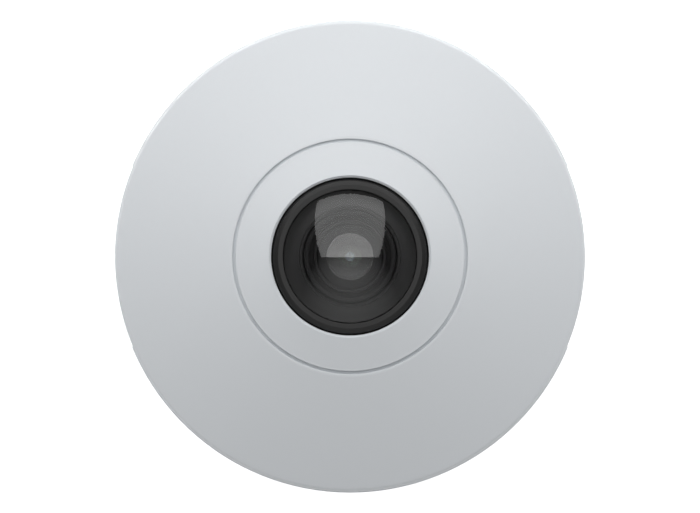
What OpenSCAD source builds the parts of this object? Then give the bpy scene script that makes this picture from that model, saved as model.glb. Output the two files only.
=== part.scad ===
/* [Overall] */
// Diameter of the front cover
cover_d = 148.4; // [146:0.2:152]
// Height of the cover's shoulder above the ceiling
shoulder_h = 23; // [22:0.5:26]
// Slope of the cover at the lens opening, in degrees
crown_slope = 16; // [15:0.5:17]
// Radius of the slight crown along the cover's slope
crown_r = 690; // [600:10:1200]
// Wall thickness of the moulded pieces
wall = 2; // [1.8:0.1:2.2]

/* [Front cover] */
// Rounding of the cover's outer edge
edge_round = 1.7; // [1:0.1:1.9]
// Gap between the cover's skirt and the base wall
skirt_gap = 0.4; // [0.3:0.05:0.6]
// Gap between the skirt's lower edge and the base lip
reveal_gap = 0.4; // [0.3:0.1:0.8]

/* [Bezel] */
// Diameter of the bezel round the lens
bezel_d = 72.4; // [70:0.2:76]
// Diameter of the opening in the bezel
bezel_open_d = 49.8; // [49:0.2:51]
// Width of the groove between bezel and cover
groove_w = 0.85; // [0.6:0.05:1.2]
// Width of the ledge that the cover's inner rim lies over
ledge_w = 3.4; // [2.5:0.1:4]

/* [Window] */
// Outer radius of the domed window
window_ball_r = 32; // [30:0.5:36]
// Thickness of the domed window
window_t = 2; // [1.6:0.1:2.4]
// Width of the black ring that holds the window
ring_w = 3.3; // [3:0.1:3.6]
// How far the black ring stands above the bezel
ring_rise = 0.2; // [0.1:0.1:0.6]

/* [Lens] */
// Diameter of the lens head
lens_head_d = 29; // [28:0.2:30]
// Diameter of the front element that shows
front_view_d = 14.6; // [13.6:0.2:15.4]
// Diameter of the lens thread
lens_thread_d = 12; // [12:0.1:12.4]
// Gap between the window and the front element
lens_gap = 2.1; // [1.8:0.1:3]

/* [Base] */
// How far the base lip stands out past the cover
lip_out = 0.3; // [0.2:0.1:0.8]
// Thickness of the base lip
lip_t = 2.2; // [1.8:0.1:2.6]
// Gap between the base lip and the ceiling
ceiling_gap = 0.6; // [0.4:0.1:1]
// Angle of each finger relief in the base lip
relief_angle = 45; // [30:1:50]
// Height of the base wall above its floor
base_wall_h = 6.8; // [6.4:0.1:8]

/* [Mounting bracket] */
// Width of the base's margin outside the mounting bracket
bracket_margin = 5.8; // [5:0.1:8]
// Thickness of the bracket's sheet
bracket_t = 1.5; // [1.2:0.1:2]
// Height of the bracket's rim above the ceiling
bracket_h = 4; // [3.6:0.1:5]
// Distance between the two slots for a single-gang box
gang_pitch = 83.3; // [83:0.1:84]
// Distance between the two slots for a round box
round_pitch = 60.3; // [60:0.1:61]
// Circle of the four holes for a bare ceiling
ceiling_pcd = 100; // [96:1:102]
// Diameter of the ceiling screw holes
ceiling_hole_d = 4.5; // [4:0.1:5]
// Angle that the camera turns between locked and free
lock_angle = 15; // [13:1:16]

/* [Network socket] */
// Width of the network socket
jack_w = 16; // [15.4:0.2:16.6]
// Length of the network socket
jack_l = 21; // [19:0.5:22]
// Height of the network socket
jack_h = 13.5; // [13:0.1:14]
// Bore of the cable grommet
grommet_bore_d = 11; // [9:0.5:12]

/* [Filter switch] */
// Travel of the filter shuttle
shuttle_travel = 8; // [7.6:0.1:8.2]
// Side of the square filters
filter_side = 6.5; // [6:0.1:6.8]
// Travel of the reset button
button_travel = 0.5; // [0.3:0.05:0.7]

/* [Hidden] */
$fn = 120;

// Colours of the finishes
shell_colour = [0.86, 0.87, 0.88];
black_plastic = [0.09, 0.09, 0.09];
glass_colour = [0.6, 0.66, 0.68, 0.45];
board_colour = [0.07, 0.27, 0.16];
steel_colour = [0.72, 0.72, 0.74];

// Overrun that carries a cut past a face
cut = 0.5;
// How far a boss or rib runs into the wall that it grows from
root = 0.4;
// Clearance between faces that turn or slide on each other
run_gap = 0.2;
// Clearance between pieces that seat on each other
seat_gap = 0.1;
// Clearance round a screw's thread in its pilot hole
pilot_gap = 0.05;
// Straight pieces in a revolved curve
crown_steps = 14;
edge_steps = 6;
rim_steps = 2;

// Heights of the base and its lip
lip_z0 = ceiling_gap;
lip_z1 = lip_z0 + lip_t;
skirt_z = lip_z1 + reveal_gap;
floor_z0 = bracket_h + run_gap;
floor_z = floor_z0 + wall;
base_top = floor_z + base_wall_h;

// Radii of the cover and the base
cover_r = cover_d / 2;
cover_in_r = cover_r - wall;
lip_r = cover_r + lip_out;
relief_depth = 1.1;
relief_r = lip_r - relief_depth;
base_wall_t = 1.8;
base_wall_r = cover_in_r - skirt_gap;
base_in_r = base_wall_r - base_wall_t;
bracket_r = base_wall_r - bracket_margin;
bracket_gap = 2;
base_skirt_r = bracket_r + bracket_gap;
lip_ease = 0.4;
base_rib_angles = [0, 75, 105, 180, 285];
base_rib_l = 12;
base_rib_t = 1.4;
base_rib_h = 3;

// The crown is an arc in section, tangent to its slope at the lens opening
open_r = bezel_open_d / 2;
crown_cr = open_r - crown_r * sin(crown_slope);
crown_rise = sin(crown_slope) + (cover_r - open_r) / crown_r;
face_z = shoulder_h + crown_r * (cos(crown_slope) - sqrt(1 - pow(crown_rise, 2)));
crown_cz = face_z - crown_r * cos(crown_slope);
edge_slope = asin((cover_r - crown_cr) / crown_r);

// Height of the cover's outer face at radius r
function crown_z(r) = crown_cz + sqrt(pow(crown_r, 2) - pow(r - crown_cr, 2));

// Points along the crown from radius a to radius b, lowered by drop
function crown_points(a, b, drop, steps) =
    [for (i = [0:steps]) let (r = a + (b - a) * i / steps) [r, crown_z(r) - drop]];

// Points of a round corner about a centre, without its last one
function corner_points(centre, radius, from_angle, to_angle, steps) =
    [for (i = [0:steps - 1])
        let (a = from_angle + (to_angle - from_angle) * i / steps)
        centre + radius * [cos(a), sin(a)]];

// Cover: rounded edge, rebated inner rim, groove for the clips
edge_end_r = cover_r - edge_round * (1 - sin(edge_slope));
edge_cz = crown_z(edge_end_r) - edge_round * cos(edge_slope);
bezel_r = bezel_d / 2;
hole_r = bezel_r + groove_w;
ledge_r = bezel_r + ledge_w;
rim_t = 1;
rim_ease = 0.25;
rebate_gap = 0.5;
rebate_r = ledge_r + rebate_gap;
ledge_drop = rim_t + run_gap;
clip_rise = 4.2;
clip_z = floor_z + clip_rise;
clip_groove_deep = 0.6;
clip_groove_mouth = 1.3;
clip_groove_floor = 0.5;
cover_rib_count = 8;
cover_rib_angle = 1.6;
cover_rib_deep = 5;
cover_rib_r = cover_in_r - cover_rib_deep;
cover_rib_z = base_top + seat_gap;

// Clips: leaf springs in notches of the base wall
clip_angles = [45, 135, 225, 315];
clip_w = 6;
clip_t = 0.4;
clip_foot = 5;
clip_nose = 2.4;
clip_grip = 0.4;
clip_stake_r = 0.9;
clip_notch_gap = 1.5;
clip_notch_rise = 0.6;
clip_r = base_in_r - seat_gap;
clip_tip_r = cover_in_r + clip_grip;
clip_stake_pos = clip_r - clip_foot / 2 - clip_t;

// Hooks of the bracket, which lock into slots of the base floor
hook_angles = [30, 150, 270];
hook_inset = 8;
hook_r = bracket_r - hook_inset;
hook_t = 1.5;
hook_neck_angle = 7;
hook_head_angle = 8;
hook_z0 = floor_z + run_gap;
hook_z1 = hook_z0 + hook_t;
hook_side_gap = 0.4;
hook_end_angle = 0.6;
hook_window_w = 4.4;

// Ceiling slots and bracket ribs
slot_w = 4.4;
gang_slot_l = 9;
round_slot_l = 8;
bracket_rim_t = 1.5;
bracket_bead_h = 1;
bracket_bead_w = 3;
bracket_bead_r = (round_pitch - round_slot_l) / 2 - bracket_t;
ceiling_hole_angles = [20, 110, 200, 290];

// Carrier of the optics: a stepped tower on three posts
tower_out = 1.6;
tower_r = open_r + tower_out;
tower_wall = 1.8;
tower_in_r = tower_r - tower_wall;
post_angles = [75, 225, 315];
post_out = 6;
post_pos = tower_r + post_out;
post_r = 3.2;
post_rise = 3.2;
post_clear = 0.4;
ear_r = 4;
ear_w = 7;
ear_t = 2;

// Cable hole with its grommet, beside the bracket's rim and in line with the network socket
cable_hole_r = 8.5;
cable_gap = 1;
grommet_flange = 1.6;
grommet_flange_t = 1;
grommet_groove = 1.2;
grommet_r = cable_hole_r + grommet_flange;
grommet_bore_r = grommet_bore_d / 2;
plug_room = 21;
jack_gap = 2.6;
jack_x = -(tower_r + jack_gap + jack_w / 2);
cable_pos = bracket_r - bracket_rim_t - cable_gap - grommet_r;
cable_y = -sqrt(pow(cable_pos, 2) - pow(jack_x, 2));
cable_angle = 180 + atan(cable_y / jack_x);
cable_slot_half = asin((cable_hole_r + wall) / cable_pos);
jack_y0 = cable_y + plug_room;
jack_y1 = jack_y0 + jack_l;

// Stack of the electronics above the base floor; the main board reaches past the socket's far corner
spreader_t = 1;
pad_t = 0.7;
processor_t = 1.3;
board_t = 1.6;
board_z = floor_z + spreader_t + pad_t + processor_t;
board_top = board_z + board_t;
carrier_z = board_top + post_rise;
board_edge = 4.2;
board_r = norm([jack_x - jack_w / 2, max(-jack_y0, jack_y1)]) + board_edge;
board_notch_gap = 6;
board_notch_r = cable_hole_r + board_notch_gap;
spreader_r = min(post_pos + post_r + ear_r, cable_pos - grommet_r - post_clear);
spreader_slot_w = 3;
boss_angles = [35, 145, 255, 325];
boss_inset = 5;
boss_pos = board_r - boss_inset;
boss_r = 3;

// Screws: thread radius, head radius, head height, recess
screw_r = 1.1;
screw_head_r = 2.1;
screw_head_h = 1.5;
small_screw_r = 0.8;
small_head_r = 1.5;
small_head_h = 1.1;
recess_w = 0.5;
recess_share = 0.6;
screw_clear = 0.3;
board_screw_l = 5;
carrier_screw_l = 8;
pilot_end = 0.4;

// Network socket: mouth, latch notch and contacts
jack_mouth_w = 11.9;
jack_mouth_h = 8.2;
jack_mouth_l = 14;
jack_mouth_z = 3.2;
jack_latch_w = 6.2;
jack_latch_h = 2;
jack_contact_count = 8;
jack_contact_pitch = 1.02;
jack_contact_w = 0.4;
jack_contact_l = 4.4;
jack_contact_h = 1.9;
jack_contact_inset = 9;
jack_peg_r = 1.4;
jack_peg_l = 2;
jack_peg_share = 0.32;
jack_peg_pos = jack_w * jack_peg_share;

// Chips and other pieces on the main board: sizes, then places as shares of the board's radius
processor_side = 16;
pad_side = 14;
ram_size = [9, 13, 1.1];
ram_place_shares = [[-0.24, 0.17], [-0.24, -0.17]];
transformer_size = [12.6, 9.2, 5.4];
transformer_place_share = [-0.4, 0.7];
transformer_pin_count = 6;
transformer_pin_w = 0.7;
transformer_pin_out = 1.3;
transformer_pin_t = 0.4;
capacitor_big_r = 4;
capacitor_big_h = 10;
capacitor_small_r = 3.15;
capacitor_small_h = 7.7;
capacitor_base_h = 1;
capacitor_big_share = [0.31, 0.8];
capacitor_small_shares = [[0.5, 0.7], [0.02, 0.84]];
inductor_side = 7;
inductor_h = 4;
inductor_place_shares = [[0.74, 0.15], [0.74, 0.33]];
inductor_top_r = 3;
inductor_ease = 0.5;
card_slot_size = [14.4, 14.6, 1.9];
card_slot_place_share = [0.8, -0.15];
card_mouth_w = 11.3;
card_mouth_h = 1.1;
card_slot_skin = 0.4;
switch_side = 6;
switch_h = 3.2;
switch_place_share = [0.38, -0.81];
button_r = 1.75;
button_rise = 1.3;
button_seat = 0.4;
led_size = [3.2, 2.8, 1.9];
led_lens_r = 1.1;
led_place_share = [0.15, -0.87];
lead_t = 0.3;

// Sensor board, its bosses and the flat cable that loops down to the main board
sensor_boss_rise = 2;
sensor_board_z = carrier_z + sensor_boss_rise;
sensor_board_t = 1.6;
sensor_top = sensor_board_z + sensor_board_t;
sensor_board_side = 30;
sensor_boss_share = 0.42;
sensor_boss_pos = sensor_board_side * sensor_boss_share;
sensor_boss_r = 2.3;
sensor_rib_w = 2;
sensor_screw_l = 3.2;
sensor_size = [12, 11, 1.2];
sensor_glass_share = 0.72;
sensor_glass_deep = 0.2;
flex_w = 12;
flex_t = 0.3;
flex_connector_l = 5;
flex_connector_x = 8;
flex_connector_h = 2;
flex_run = 4;
flex_grip = 1.5;
flex_side_gap = 0.8;
flex_low_z = board_top + flex_connector_h / 2;
flex_high_z = sensor_board_z - flex_connector_h / 2;
flex_bend_r = (flex_high_z - flex_low_z) / 2;
flex_bend_x = flex_connector_x + flex_connector_l + flex_run;

// Filter switch between the sensor and the lens
filter_side_wall = 2;
shuttle_rim = 0.85;
shuttle_l = shuttle_travel + filter_side + 2 * shuttle_rim + 2 * seat_gap;
shuttle_edge = 1.35;
shuttle_w = filter_side + 2 * shuttle_edge;
shuttle_t = 1.2;
shuttle_x = -shuttle_travel / 2;
magnet_size = [4, 1.4, 1];
track_half_x = (shuttle_l + shuttle_travel) / 2 + run_gap;
track_y0 = -shuttle_w / 2 - run_gap;
track_y1 = shuttle_w / 2 + magnet_size[1] + run_gap;
coil_size = [10, 2, 3];
coil_core_share = 0.5;
coil_wall = 0.3;
housing_half_x = track_half_x + filter_side_wall;
housing_y0 = track_y0 - filter_side_wall;
housing_y1 = track_y1 + coil_wall + coil_size[1] + coil_wall + coil_wall;
sensor_room = 0.4;
sensor_room_z = sensor_top + sensor_size[2] + sensor_room;
track_floor_t = 1.2;
track_z0 = sensor_room_z + track_floor_t;
shuttle_z = track_z0 + run_gap;
track_z1 = shuttle_z + shuttle_t + run_gap;
glass_t = 0.6;
glass_gap = 0.05;
glass_ledge = 0.45;
light_hole_share = 0.62;
filter_places = [0, -shuttle_travel];
light_hole_r = filter_side * light_hole_share;
lid_t = 1.1;
lid_z = track_z1;
lid_top = lid_z + lid_t;

// Lens mount: a plate with a threaded collar
mount_plate_t = 1.6;
mount_r = 8;
mount_floor_t = 0.5;
mount_gusset_t = 1.2;
mount_gusset_r = 3;
mount_screw_inset = 1.5;
mount_screw_x = housing_half_x - mount_screw_inset;
mount_screw_low_y = housing_y0 + mount_screw_inset;
mount_screw_high_y = housing_y1 - mount_screw_inset;
mount_screw_end = 0.2;

// Window: a spherical cap with a flange, on a gasket, under the black ring
ring_gap = 0.3;
ring_r = open_r - ring_gap;
view_r = ring_r - ring_w;
window_edge_drop = 0.3;
window_edge_z = face_z - window_edge_drop;
window_cz = window_edge_z - sqrt(pow(window_ball_r, 2) - pow(view_r, 2));
window_apex_z = window_cz + window_ball_r;
window_rim_out = 0.5;
window_rim_r = view_r + window_rim_out;
window_flange_w = 1.9;
window_flange_r = window_rim_r + window_flange_w;
window_flange_drop = 1.7;
window_flange_t = 1.6;
window_flange_z1 = window_edge_z - window_flange_drop;
window_flange_z0 = window_flange_z1 - window_flange_t;
gasket_t = 0.8;
gasket_in_r = window_rim_r + window_rim_out;
seat_z = window_flange_z0 - gasket_t;

// Black ring: foot under the bezel, bead, outer slope, flat round the window
ring_foot_t = 1.3;
ring_foot_gap = 0.2;
ring_foot_r = tower_r - ring_foot_gap;
ring_bead_r = 0.4;
ring_bead_angle = 150;
ring_bead_steps = 8;
ring_flat_w = 1.35;
ring_slope_h = 0.5;
ring_lip_t = 0.2;
ring_wall_gap = 0.15;
ring_top_z = face_z + ring_rise;
ring_bead_cz = ring_top_z - ring_slope_h - ring_bead_r * sin(ring_bead_angle);
ring_bead_cr = ring_r - ring_bead_r;

// Carrier: flange under the bezel, bore for the shroud, ledge below it
carrier_flange_t = 1.8;
carrier_flange_out = 5.6;
carrier_flange_r = tower_r + carrier_flange_out;
carrier_sleeve_t = 2;
shroud_drop = 5.3;
shroud_ledge_z = seat_z - shroud_drop;
shroud_ledge_t = 1.8;
shroud_gap = 0.1;
shroud_out_r = window_rim_r - shroud_gap;
carrier_bore_r = window_rim_r + shroud_gap;
shroud_ledge_r = shroud_out_r - carrier_sleeve_t;
carrier_web_count = 6;
carrier_web_t = 1.5;
carrier_web_h = 5;
carrier_web_turn = 45;
carrier_vent_count = 6;
carrier_vent_angle = 24;
carrier_vent_rise = 5;
carrier_vent_h = 4;
bezel_screw_angles = [15, 135, 255];
bezel_screw_out = 2.8;
bezel_screw_pos = tower_r + bezel_screw_out;
bezel_boss_r = 2.3;
bezel_boss_sink = 1;
bezel_boss_z = crown_z(bezel_screw_pos) - bezel_boss_sink;
bezel_screw_top = bezel_boss_z - run_gap;

// Bezel: the cover's crown goes on over it to the lens opening
bezel_round = 0.8;
bezel_face_r = open_r + bezel_round * (1 + sin(crown_slope));
bezel_round_z = crown_z(bezel_face_r) - bezel_round * cos(crown_slope);
bezel_collar_w = 2.4;
bezel_collar_z = seat_z + ring_foot_t + run_gap;
bezel_ease = 0.25;

// Shroud: a black cone between the ring and the lens head, with a ledge round the head
head_r = lens_head_d / 2;
shroud_lens_gap = 0.5;
shroud_in_r = head_r + shroud_lens_gap;
shroud_t = 1.2;
shroud_top_drop = 1.6;
shroud_rim_gap = 0.45;
shroud_top_z = face_z - shroud_top_drop;
shroud_rim_z = window_flange_z0 - shroud_rim_gap;
shroud_lip_w = 0.9;
shroud_lip_h = 0.4;
shroud_collar_h = 2;

// Lens: heights counted down from the front element's crown
lens_front_z = window_apex_z - window_t - lens_gap;
front_view_r = front_view_d / 2;
front_ball_r = 30;
front_flange_out = 0.8;
front_flange_r = front_view_r + front_flange_out;
front_flange_drop = 2.7;
front_flange_t = 1.5;
front_flange_z1 = lens_front_z - front_flange_drop;
front_seat_z = front_flange_z1 - front_flange_t;
front_bowl_r = 6.5;
front_bowl_drop = 1.4;
retainer_w = 3.1;
retainer_r = front_view_r + retainer_w;
retainer_inner_drop = 1.1;
retainer_outer_drop = 2;
retainer_hole_r = 0.5;
retainer_hole_deep = 0.4;
barrel_rim_w = 0.9;
barrel_rim_drop = 1.7;
barrel_step_drop = 3.4;
barrel_step_w = 1.75;
barrel_ridge_drop = 2.9;
barrel_ridge_w = 1.1;
barrel_edge_drop = 3.2;
head_drop = 8;
head_slope_drop = 10;
head_z = lens_front_z - head_drop;
neck_z = lens_front_z - head_slope_drop;
focus_room = 1.7;
lock_ring_t = 1.7;
lock_ring_z = neck_z - focus_room - lock_ring_t;
mount_top = lock_ring_z - seat_gap;
mount_h = mount_top - lid_top;
thread_r = lens_thread_d / 2;
barrel_floor_gap = 0.4;
barrel_z0 = lid_top + mount_floor_t + barrel_floor_gap;
spacer_bore_r = front_view_r - front_flange_out / 2;
spacer_wall = 3;
spacer_drop = 3.3;
inner_seat_z = front_seat_z - spacer_drop;
inner_r = spacer_bore_r - spacer_wall;
inner_view_r = inner_r - 3 * seat_gap;
inner_ball_r = inner_r;
inner_flange_t = 1;
inner_floor_z = inner_seat_z - inner_flange_t;
inner_apex_z = inner_seat_z + inner_ball_r - sqrt(pow(inner_ball_r, 2) - pow(inner_view_r, 2));
rear_shelf_w = 0.5;
rear_bore_r = inner_r - rear_shelf_w;
stop_r = 1.5;
stop_t = 0.6;
rear_l = 3.6;
rear_retainer_t = 0.8;
rear_retainer_w = 0.8;
rear_r = rear_bore_r - glass_gap;
rear_z0 = barrel_z0 + rear_retainer_t + 2 * seat_gap;
rear_z1 = rear_z0 + rear_l;
rear_ball_r = 9;
stop_z = rear_z1 + seat_gap;
thread_gap = 0.05;
lock_ring_r = 9;
lock_notch_count = 12;
lock_notch_r = 0.7;

// A ring: a cylinder with a bore through it
module ring(out_r, in_r, h) {
    difference() {
        cylinder(r = out_r, h = h);
        translate([0, 0, -cut]) cylinder(r = in_r, h = h + 2 * cut);
    }
}

// A curved bar: part of a ring of square section, from one angle to another
module arc_bar(in_r, out_r, from_angle, to_angle, z0, z1) {
    rotate(from_angle)
        rotate_extrude(angle = to_angle - from_angle)
            translate([in_r, z0]) square([out_r - in_r, z1 - z0]);
}

// A block centred in x and y on its place
module block(size, place, z) {
    translate([place[0] - size[0] / 2, place[1] - size[1] / 2, z]) cube(size);
}

// Children set at an angle and a distance from the axis
module around(angles, r) {
    for (a = angles) rotate(a) translate([r, 0, 0]) children();
}

// A pan-head screw, its head above z = 0 and its thread below
module screw(r, l, head_r, head_h) {
    difference() {
        union() {
            translate([0, 0, -l]) cylinder(r = r, h = l + root, $fn = 24);
            cylinder(r = head_r, h = head_h, $fn = 32);
        }
        for (a = [0, 90]) rotate(a)
            translate([-head_r * recess_share, -recess_w / 2, head_h / 2])
                cube([2 * head_r * recess_share, recess_w, head_h]);
    }
}

// A slot with round ends for a ceiling screw, long in x
module ceiling_slot(l, w, h) {
    translate([-(l - w) / 2, -w / 2, 0]) cube([l - w, w, h]);
    for (side = [-1, 1]) translate([side * (l - w) / 2, 0, 0]) cylinder(d = w, h = h, $fn = 48);
}

// Pressed-steel bracket that stays on the ceiling
module mounting_bracket() {
    color(steel_colour) difference() {
        union() {
            cylinder(r = bracket_r, h = bracket_t);
            ring(bracket_r, bracket_r - bracket_rim_t, bracket_h);
            translate([0, 0, bracket_t - root])
                ring(bracket_bead_r, bracket_bead_r - bracket_bead_w, bracket_bead_h + root);
            for (a = hook_angles) rotate(a) {
                arc_bar(hook_r - hook_t / 2, hook_r + hook_t / 2, -hook_neck_angle, 0,
                    bracket_t - root, hook_z1);
                arc_bar(hook_r - hook_t / 2, hook_r + hook_t / 2, -hook_neck_angle, hook_head_angle,
                    hook_z0, hook_z1);
            }
        }
        for (a = hook_angles) rotate(a)
            arc_bar(hook_r - hook_window_w / 2, hook_r + hook_window_w / 2, hook_end_angle,
                hook_head_angle + hook_end_angle, -cut, bracket_t + cut);
        for (side = [-1, 1]) {
            translate([side * gang_pitch / 2, 0, -cut])
                ceiling_slot(gang_slot_l, slot_w, bracket_h + cut);
            translate([0, side * round_pitch / 2, -cut]) rotate(90)
                ceiling_slot(round_slot_l, slot_w, bracket_h + cut);
        }
        around(ceiling_hole_angles, ceiling_pcd / 2)
            translate([0, 0, -cut]) cylinder(d = ceiling_hole_d, h = bracket_h + cut, $fn = 48);
        cable_window();
    }
}

// Opening in the bracket that the cable passes, locked or turned free
module cable_window() {
    arc_bar(cable_pos - cable_hole_r - wall, cable_pos + cable_hole_r, cable_angle - cable_slot_half,
        cable_angle + lock_angle + cable_slot_half, -cut, bracket_h + cut);
}

// Moulded base: floor, wall, lip, posts for the optics and bosses for the board
module base_housing() {
    color(shell_colour) difference() {
        union() {
            rotate_extrude() polygon([
                [0, floor_z0], [base_skirt_r, floor_z0], [base_skirt_r, lip_z0],
                [lip_r, lip_z0], [lip_r, lip_z1 - lip_ease], [lip_r - lip_ease, lip_z1],
                [base_wall_r, lip_z1], [base_wall_r, base_top], [base_in_r, base_top],
                [base_in_r, floor_z], [0, floor_z]
            ]);
            around(post_angles, post_pos)
                translate([0, 0, floor_z - root])
                    cylinder(r = post_r, h = carrier_z - floor_z + root, $fn = 48);
            around(boss_angles, boss_pos)
                translate([0, 0, floor_z - root])
                    cylinder(r = boss_r, h = board_z - floor_z + root, $fn = 48);
            base_ribs();
            around(clip_angles, clip_stake_pos)
                translate([0, 0, floor_z - root])
                    cylinder(r = clip_stake_r, h = clip_t * 2 + root, $fn = 24);
        }
        for (side = [0, 180]) rotate(side)
            arc_bar(relief_r, lip_r + cut, -relief_angle / 2, relief_angle / 2,
                lip_z0 - cut, lip_z1 + cut);
        for (a = hook_angles) rotate(a)
            arc_bar(hook_r - hook_t / 2 - hook_side_gap, hook_r + hook_t / 2 + hook_side_gap,
                -hook_neck_angle - lock_angle - hook_end_angle, hook_end_angle,
                floor_z0 - cut, floor_z + cut);
        around(clip_angles, 0)
            translate([base_in_r - cut, -clip_w / 2 - clip_notch_gap, floor_z + clip_notch_rise])
                cube([base_wall_t + 2 * cut, clip_w + 2 * clip_notch_gap, base_wall_h + cut]);
        translate([jack_x, cable_y, floor_z0 - cut]) cylinder(r = cable_hole_r, h = wall + 2 * cut);
        around(post_angles, post_pos)
            translate([0, 0, carrier_z + ear_t - carrier_screw_l - pilot_end])
                cylinder(r = screw_r + pilot_gap, h = carrier_screw_l + cut, $fn = 24);
        around(boss_angles, boss_pos)
            translate([0, 0, board_top - board_screw_l - pilot_end])
                cylinder(r = screw_r + pilot_gap, h = board_screw_l + cut, $fn = 24);
    }
}

// Stiffening ribs from the base wall inwards
module base_ribs() {
    for (a = base_rib_angles) rotate(a)
        translate([base_in_r - base_rib_l, -base_rib_t / 2, floor_z - root])
            cube([base_rib_l + root, base_rib_t, base_rib_h + root]);
}

// Rubber grommet that seals the base floor round the cable
module cable_grommet() {
    color([0.12, 0.12, 0.12]) translate([jack_x, cable_y, 0]) rotate_extrude() polygon([
        [grommet_bore_r, floor_z0 - grommet_flange_t], [cable_hole_r, floor_z0 - grommet_flange_t],
        [grommet_r, floor_z0 - seat_gap], [cable_hole_r - seat_gap, floor_z0 - seat_gap],
        [cable_hole_r - seat_gap, floor_z + seat_gap], [grommet_r, floor_z + seat_gap],
        [grommet_r, floor_z + grommet_flange_t],
        [grommet_bore_r, floor_z + grommet_groove + grommet_flange_t]
    ]);
}

// Four leaf springs whose noses snap into the cover's groove
module cover_clips() {
    color(steel_colour) around(clip_angles, 0) difference() {
        translate([0, clip_w / 2, 0]) rotate([90, 0, 0]) linear_extrude(clip_w) polygon([
            [clip_r - clip_foot - clip_t, floor_z], [clip_r, floor_z], [clip_r, clip_z - clip_nose],
            [clip_tip_r, clip_z], [clip_r, clip_z + clip_nose], [clip_r - clip_t, clip_z + clip_nose],
            [clip_tip_r - clip_t * 2, clip_z], [clip_r - clip_t, clip_z - clip_nose],
            [clip_r - clip_t, floor_z + clip_t], [clip_r - clip_foot - clip_t, floor_z + clip_t]
        ]);
        translate([clip_stake_pos, 0, floor_z - cut])
            cylinder(r = clip_stake_r + pilot_gap, h = clip_t + 2 * cut, $fn = 24);
    }
}

// Aluminium plate that spreads the processor's heat over the base floor
module heat_spreader() {
    color([0.8, 0.81, 0.83]) translate([0, 0, floor_z]) difference() {
        cylinder(r = spreader_r, h = spreader_t);
        around(post_angles, post_pos)
            translate([0, 0, -cut]) cylinder(r = post_r + post_clear, h = spreader_t + 2 * cut, $fn = 48);
        for (a = post_angles) rotate(a)
            translate([post_pos, -spreader_slot_w / 2, -cut])
                cube([spreader_r, spreader_slot_w, spreader_t + 2 * cut]);
    }
}

// Soft pad between the plate and the processor
module thermal_pad() {
    color([0.55, 0.62, 0.7]) block([pad_side, pad_side, pad_t], [0, 0], floor_z + spreader_t);
}

// Processor under the main board
module processor() {
    color([0.1, 0.1, 0.11])
        block([processor_side, processor_side, processor_t], [0, 0], board_z - processor_t);
}

// Main board: a disc with a notch for the cable
module main_board() {
    color(board_colour) difference() {
        translate([0, 0, board_z]) cylinder(r = board_r, h = board_t);
        translate([jack_x, cable_y, board_z - cut]) cylinder(r = board_notch_r, h = board_t + 2 * cut);
        around(post_angles, post_pos)
            translate([0, 0, board_z - cut])
                cylinder(r = post_r + post_clear, h = board_t + 2 * cut, $fn = 48);
        around(boss_angles, boss_pos)
            translate([0, 0, board_z - cut])
                cylinder(r = screw_r + screw_clear, h = board_t + 2 * cut, $fn = 24);
        for (side = [-1, 1])
            translate([jack_x + side * jack_peg_pos, jack_y0 + jack_l / 2, board_z - cut])
                cylinder(r = jack_peg_r + pilot_gap, h = board_t + 2 * cut, $fn = 24);
    }
}

// Screws that hold the main board
module board_screws() {
    color(steel_colour) around(boss_angles, boss_pos)
        translate([0, 0, board_top]) screw(screw_r, board_screw_l, screw_head_r, screw_head_h);
}

// Memory chips on the main board
module memory_chips() {
    color([0.13, 0.13, 0.14]) for (p = ram_place_shares) block(ram_size, board_r * p, board_top);
}

// Network socket, its mouth towards the cable hole
module ethernet_jack() {
    color([0.75, 0.76, 0.78]) difference() {
        union() {
            translate([jack_x - jack_w / 2, jack_y0, board_top]) cube([jack_w, jack_l, jack_h]);
            for (side = [-1, 1])
                translate([jack_x + side * jack_peg_pos, jack_y0 + jack_l / 2, board_top - jack_peg_l])
                    cylinder(r = jack_peg_r, h = jack_peg_l + root, $fn = 24);
        }
        translate([jack_x - jack_mouth_w / 2, jack_y0 - cut, board_top + jack_mouth_z])
            cube([jack_mouth_w, jack_mouth_l + cut, jack_mouth_h]);
        translate([jack_x - jack_latch_w / 2, jack_y0 - cut, board_top + jack_mouth_z - jack_latch_h])
            cube([jack_latch_w, jack_mouth_l + cut, jack_latch_h + cut]);
    }
}

// Eight spring contacts under the roof of the socket's mouth
module jack_contacts() {
    color([0.85, 0.68, 0.3]) for (i = [0:jack_contact_count - 1])
        translate([jack_x + (i - (jack_contact_count - 1) / 2) * jack_contact_pitch - jack_contact_w / 2,
                jack_y0 + jack_contact_inset, board_top + jack_mouth_z + jack_mouth_h])
            rotate([90, 0, 90]) linear_extrude(jack_contact_w) polygon([
                [0, -lead_t], [0, 0], [jack_contact_l, 0], [jack_contact_l, -jack_contact_h],
                [jack_contact_l - lead_t, -jack_contact_h], [jack_contact_l - 2 * lead_t, -lead_t]
            ]);
}

// Network transformer with its rows of leads
module network_transformer() {
    place = board_r * transformer_place_share;
    color([0.11, 0.11, 0.12]) {
        block(transformer_size, place, board_top + transformer_pin_t);
        for (i = [1:transformer_pin_count], side = [0, 180])
            translate(concat(place, board_top)) rotate(side)
                translate([transformer_size[0] * (i / (transformer_pin_count + 1) - 1 / 2)
                        - transformer_pin_w / 2, transformer_size[1] / 2 - root, 0])
                    cube([transformer_pin_w, transformer_pin_out + root, transformer_pin_t * 2]);
    }
}

// An electrolytic capacitor on its square foot
module capacitor(r, h) {
    translate([0, 0, capacitor_base_h - root]) cylinder(r = r, h = h - capacitor_base_h + root, $fn = 48);
    translate([-r, -r, 0]) cube([2 * r, 2 * r, capacitor_base_h]);
}

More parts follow.
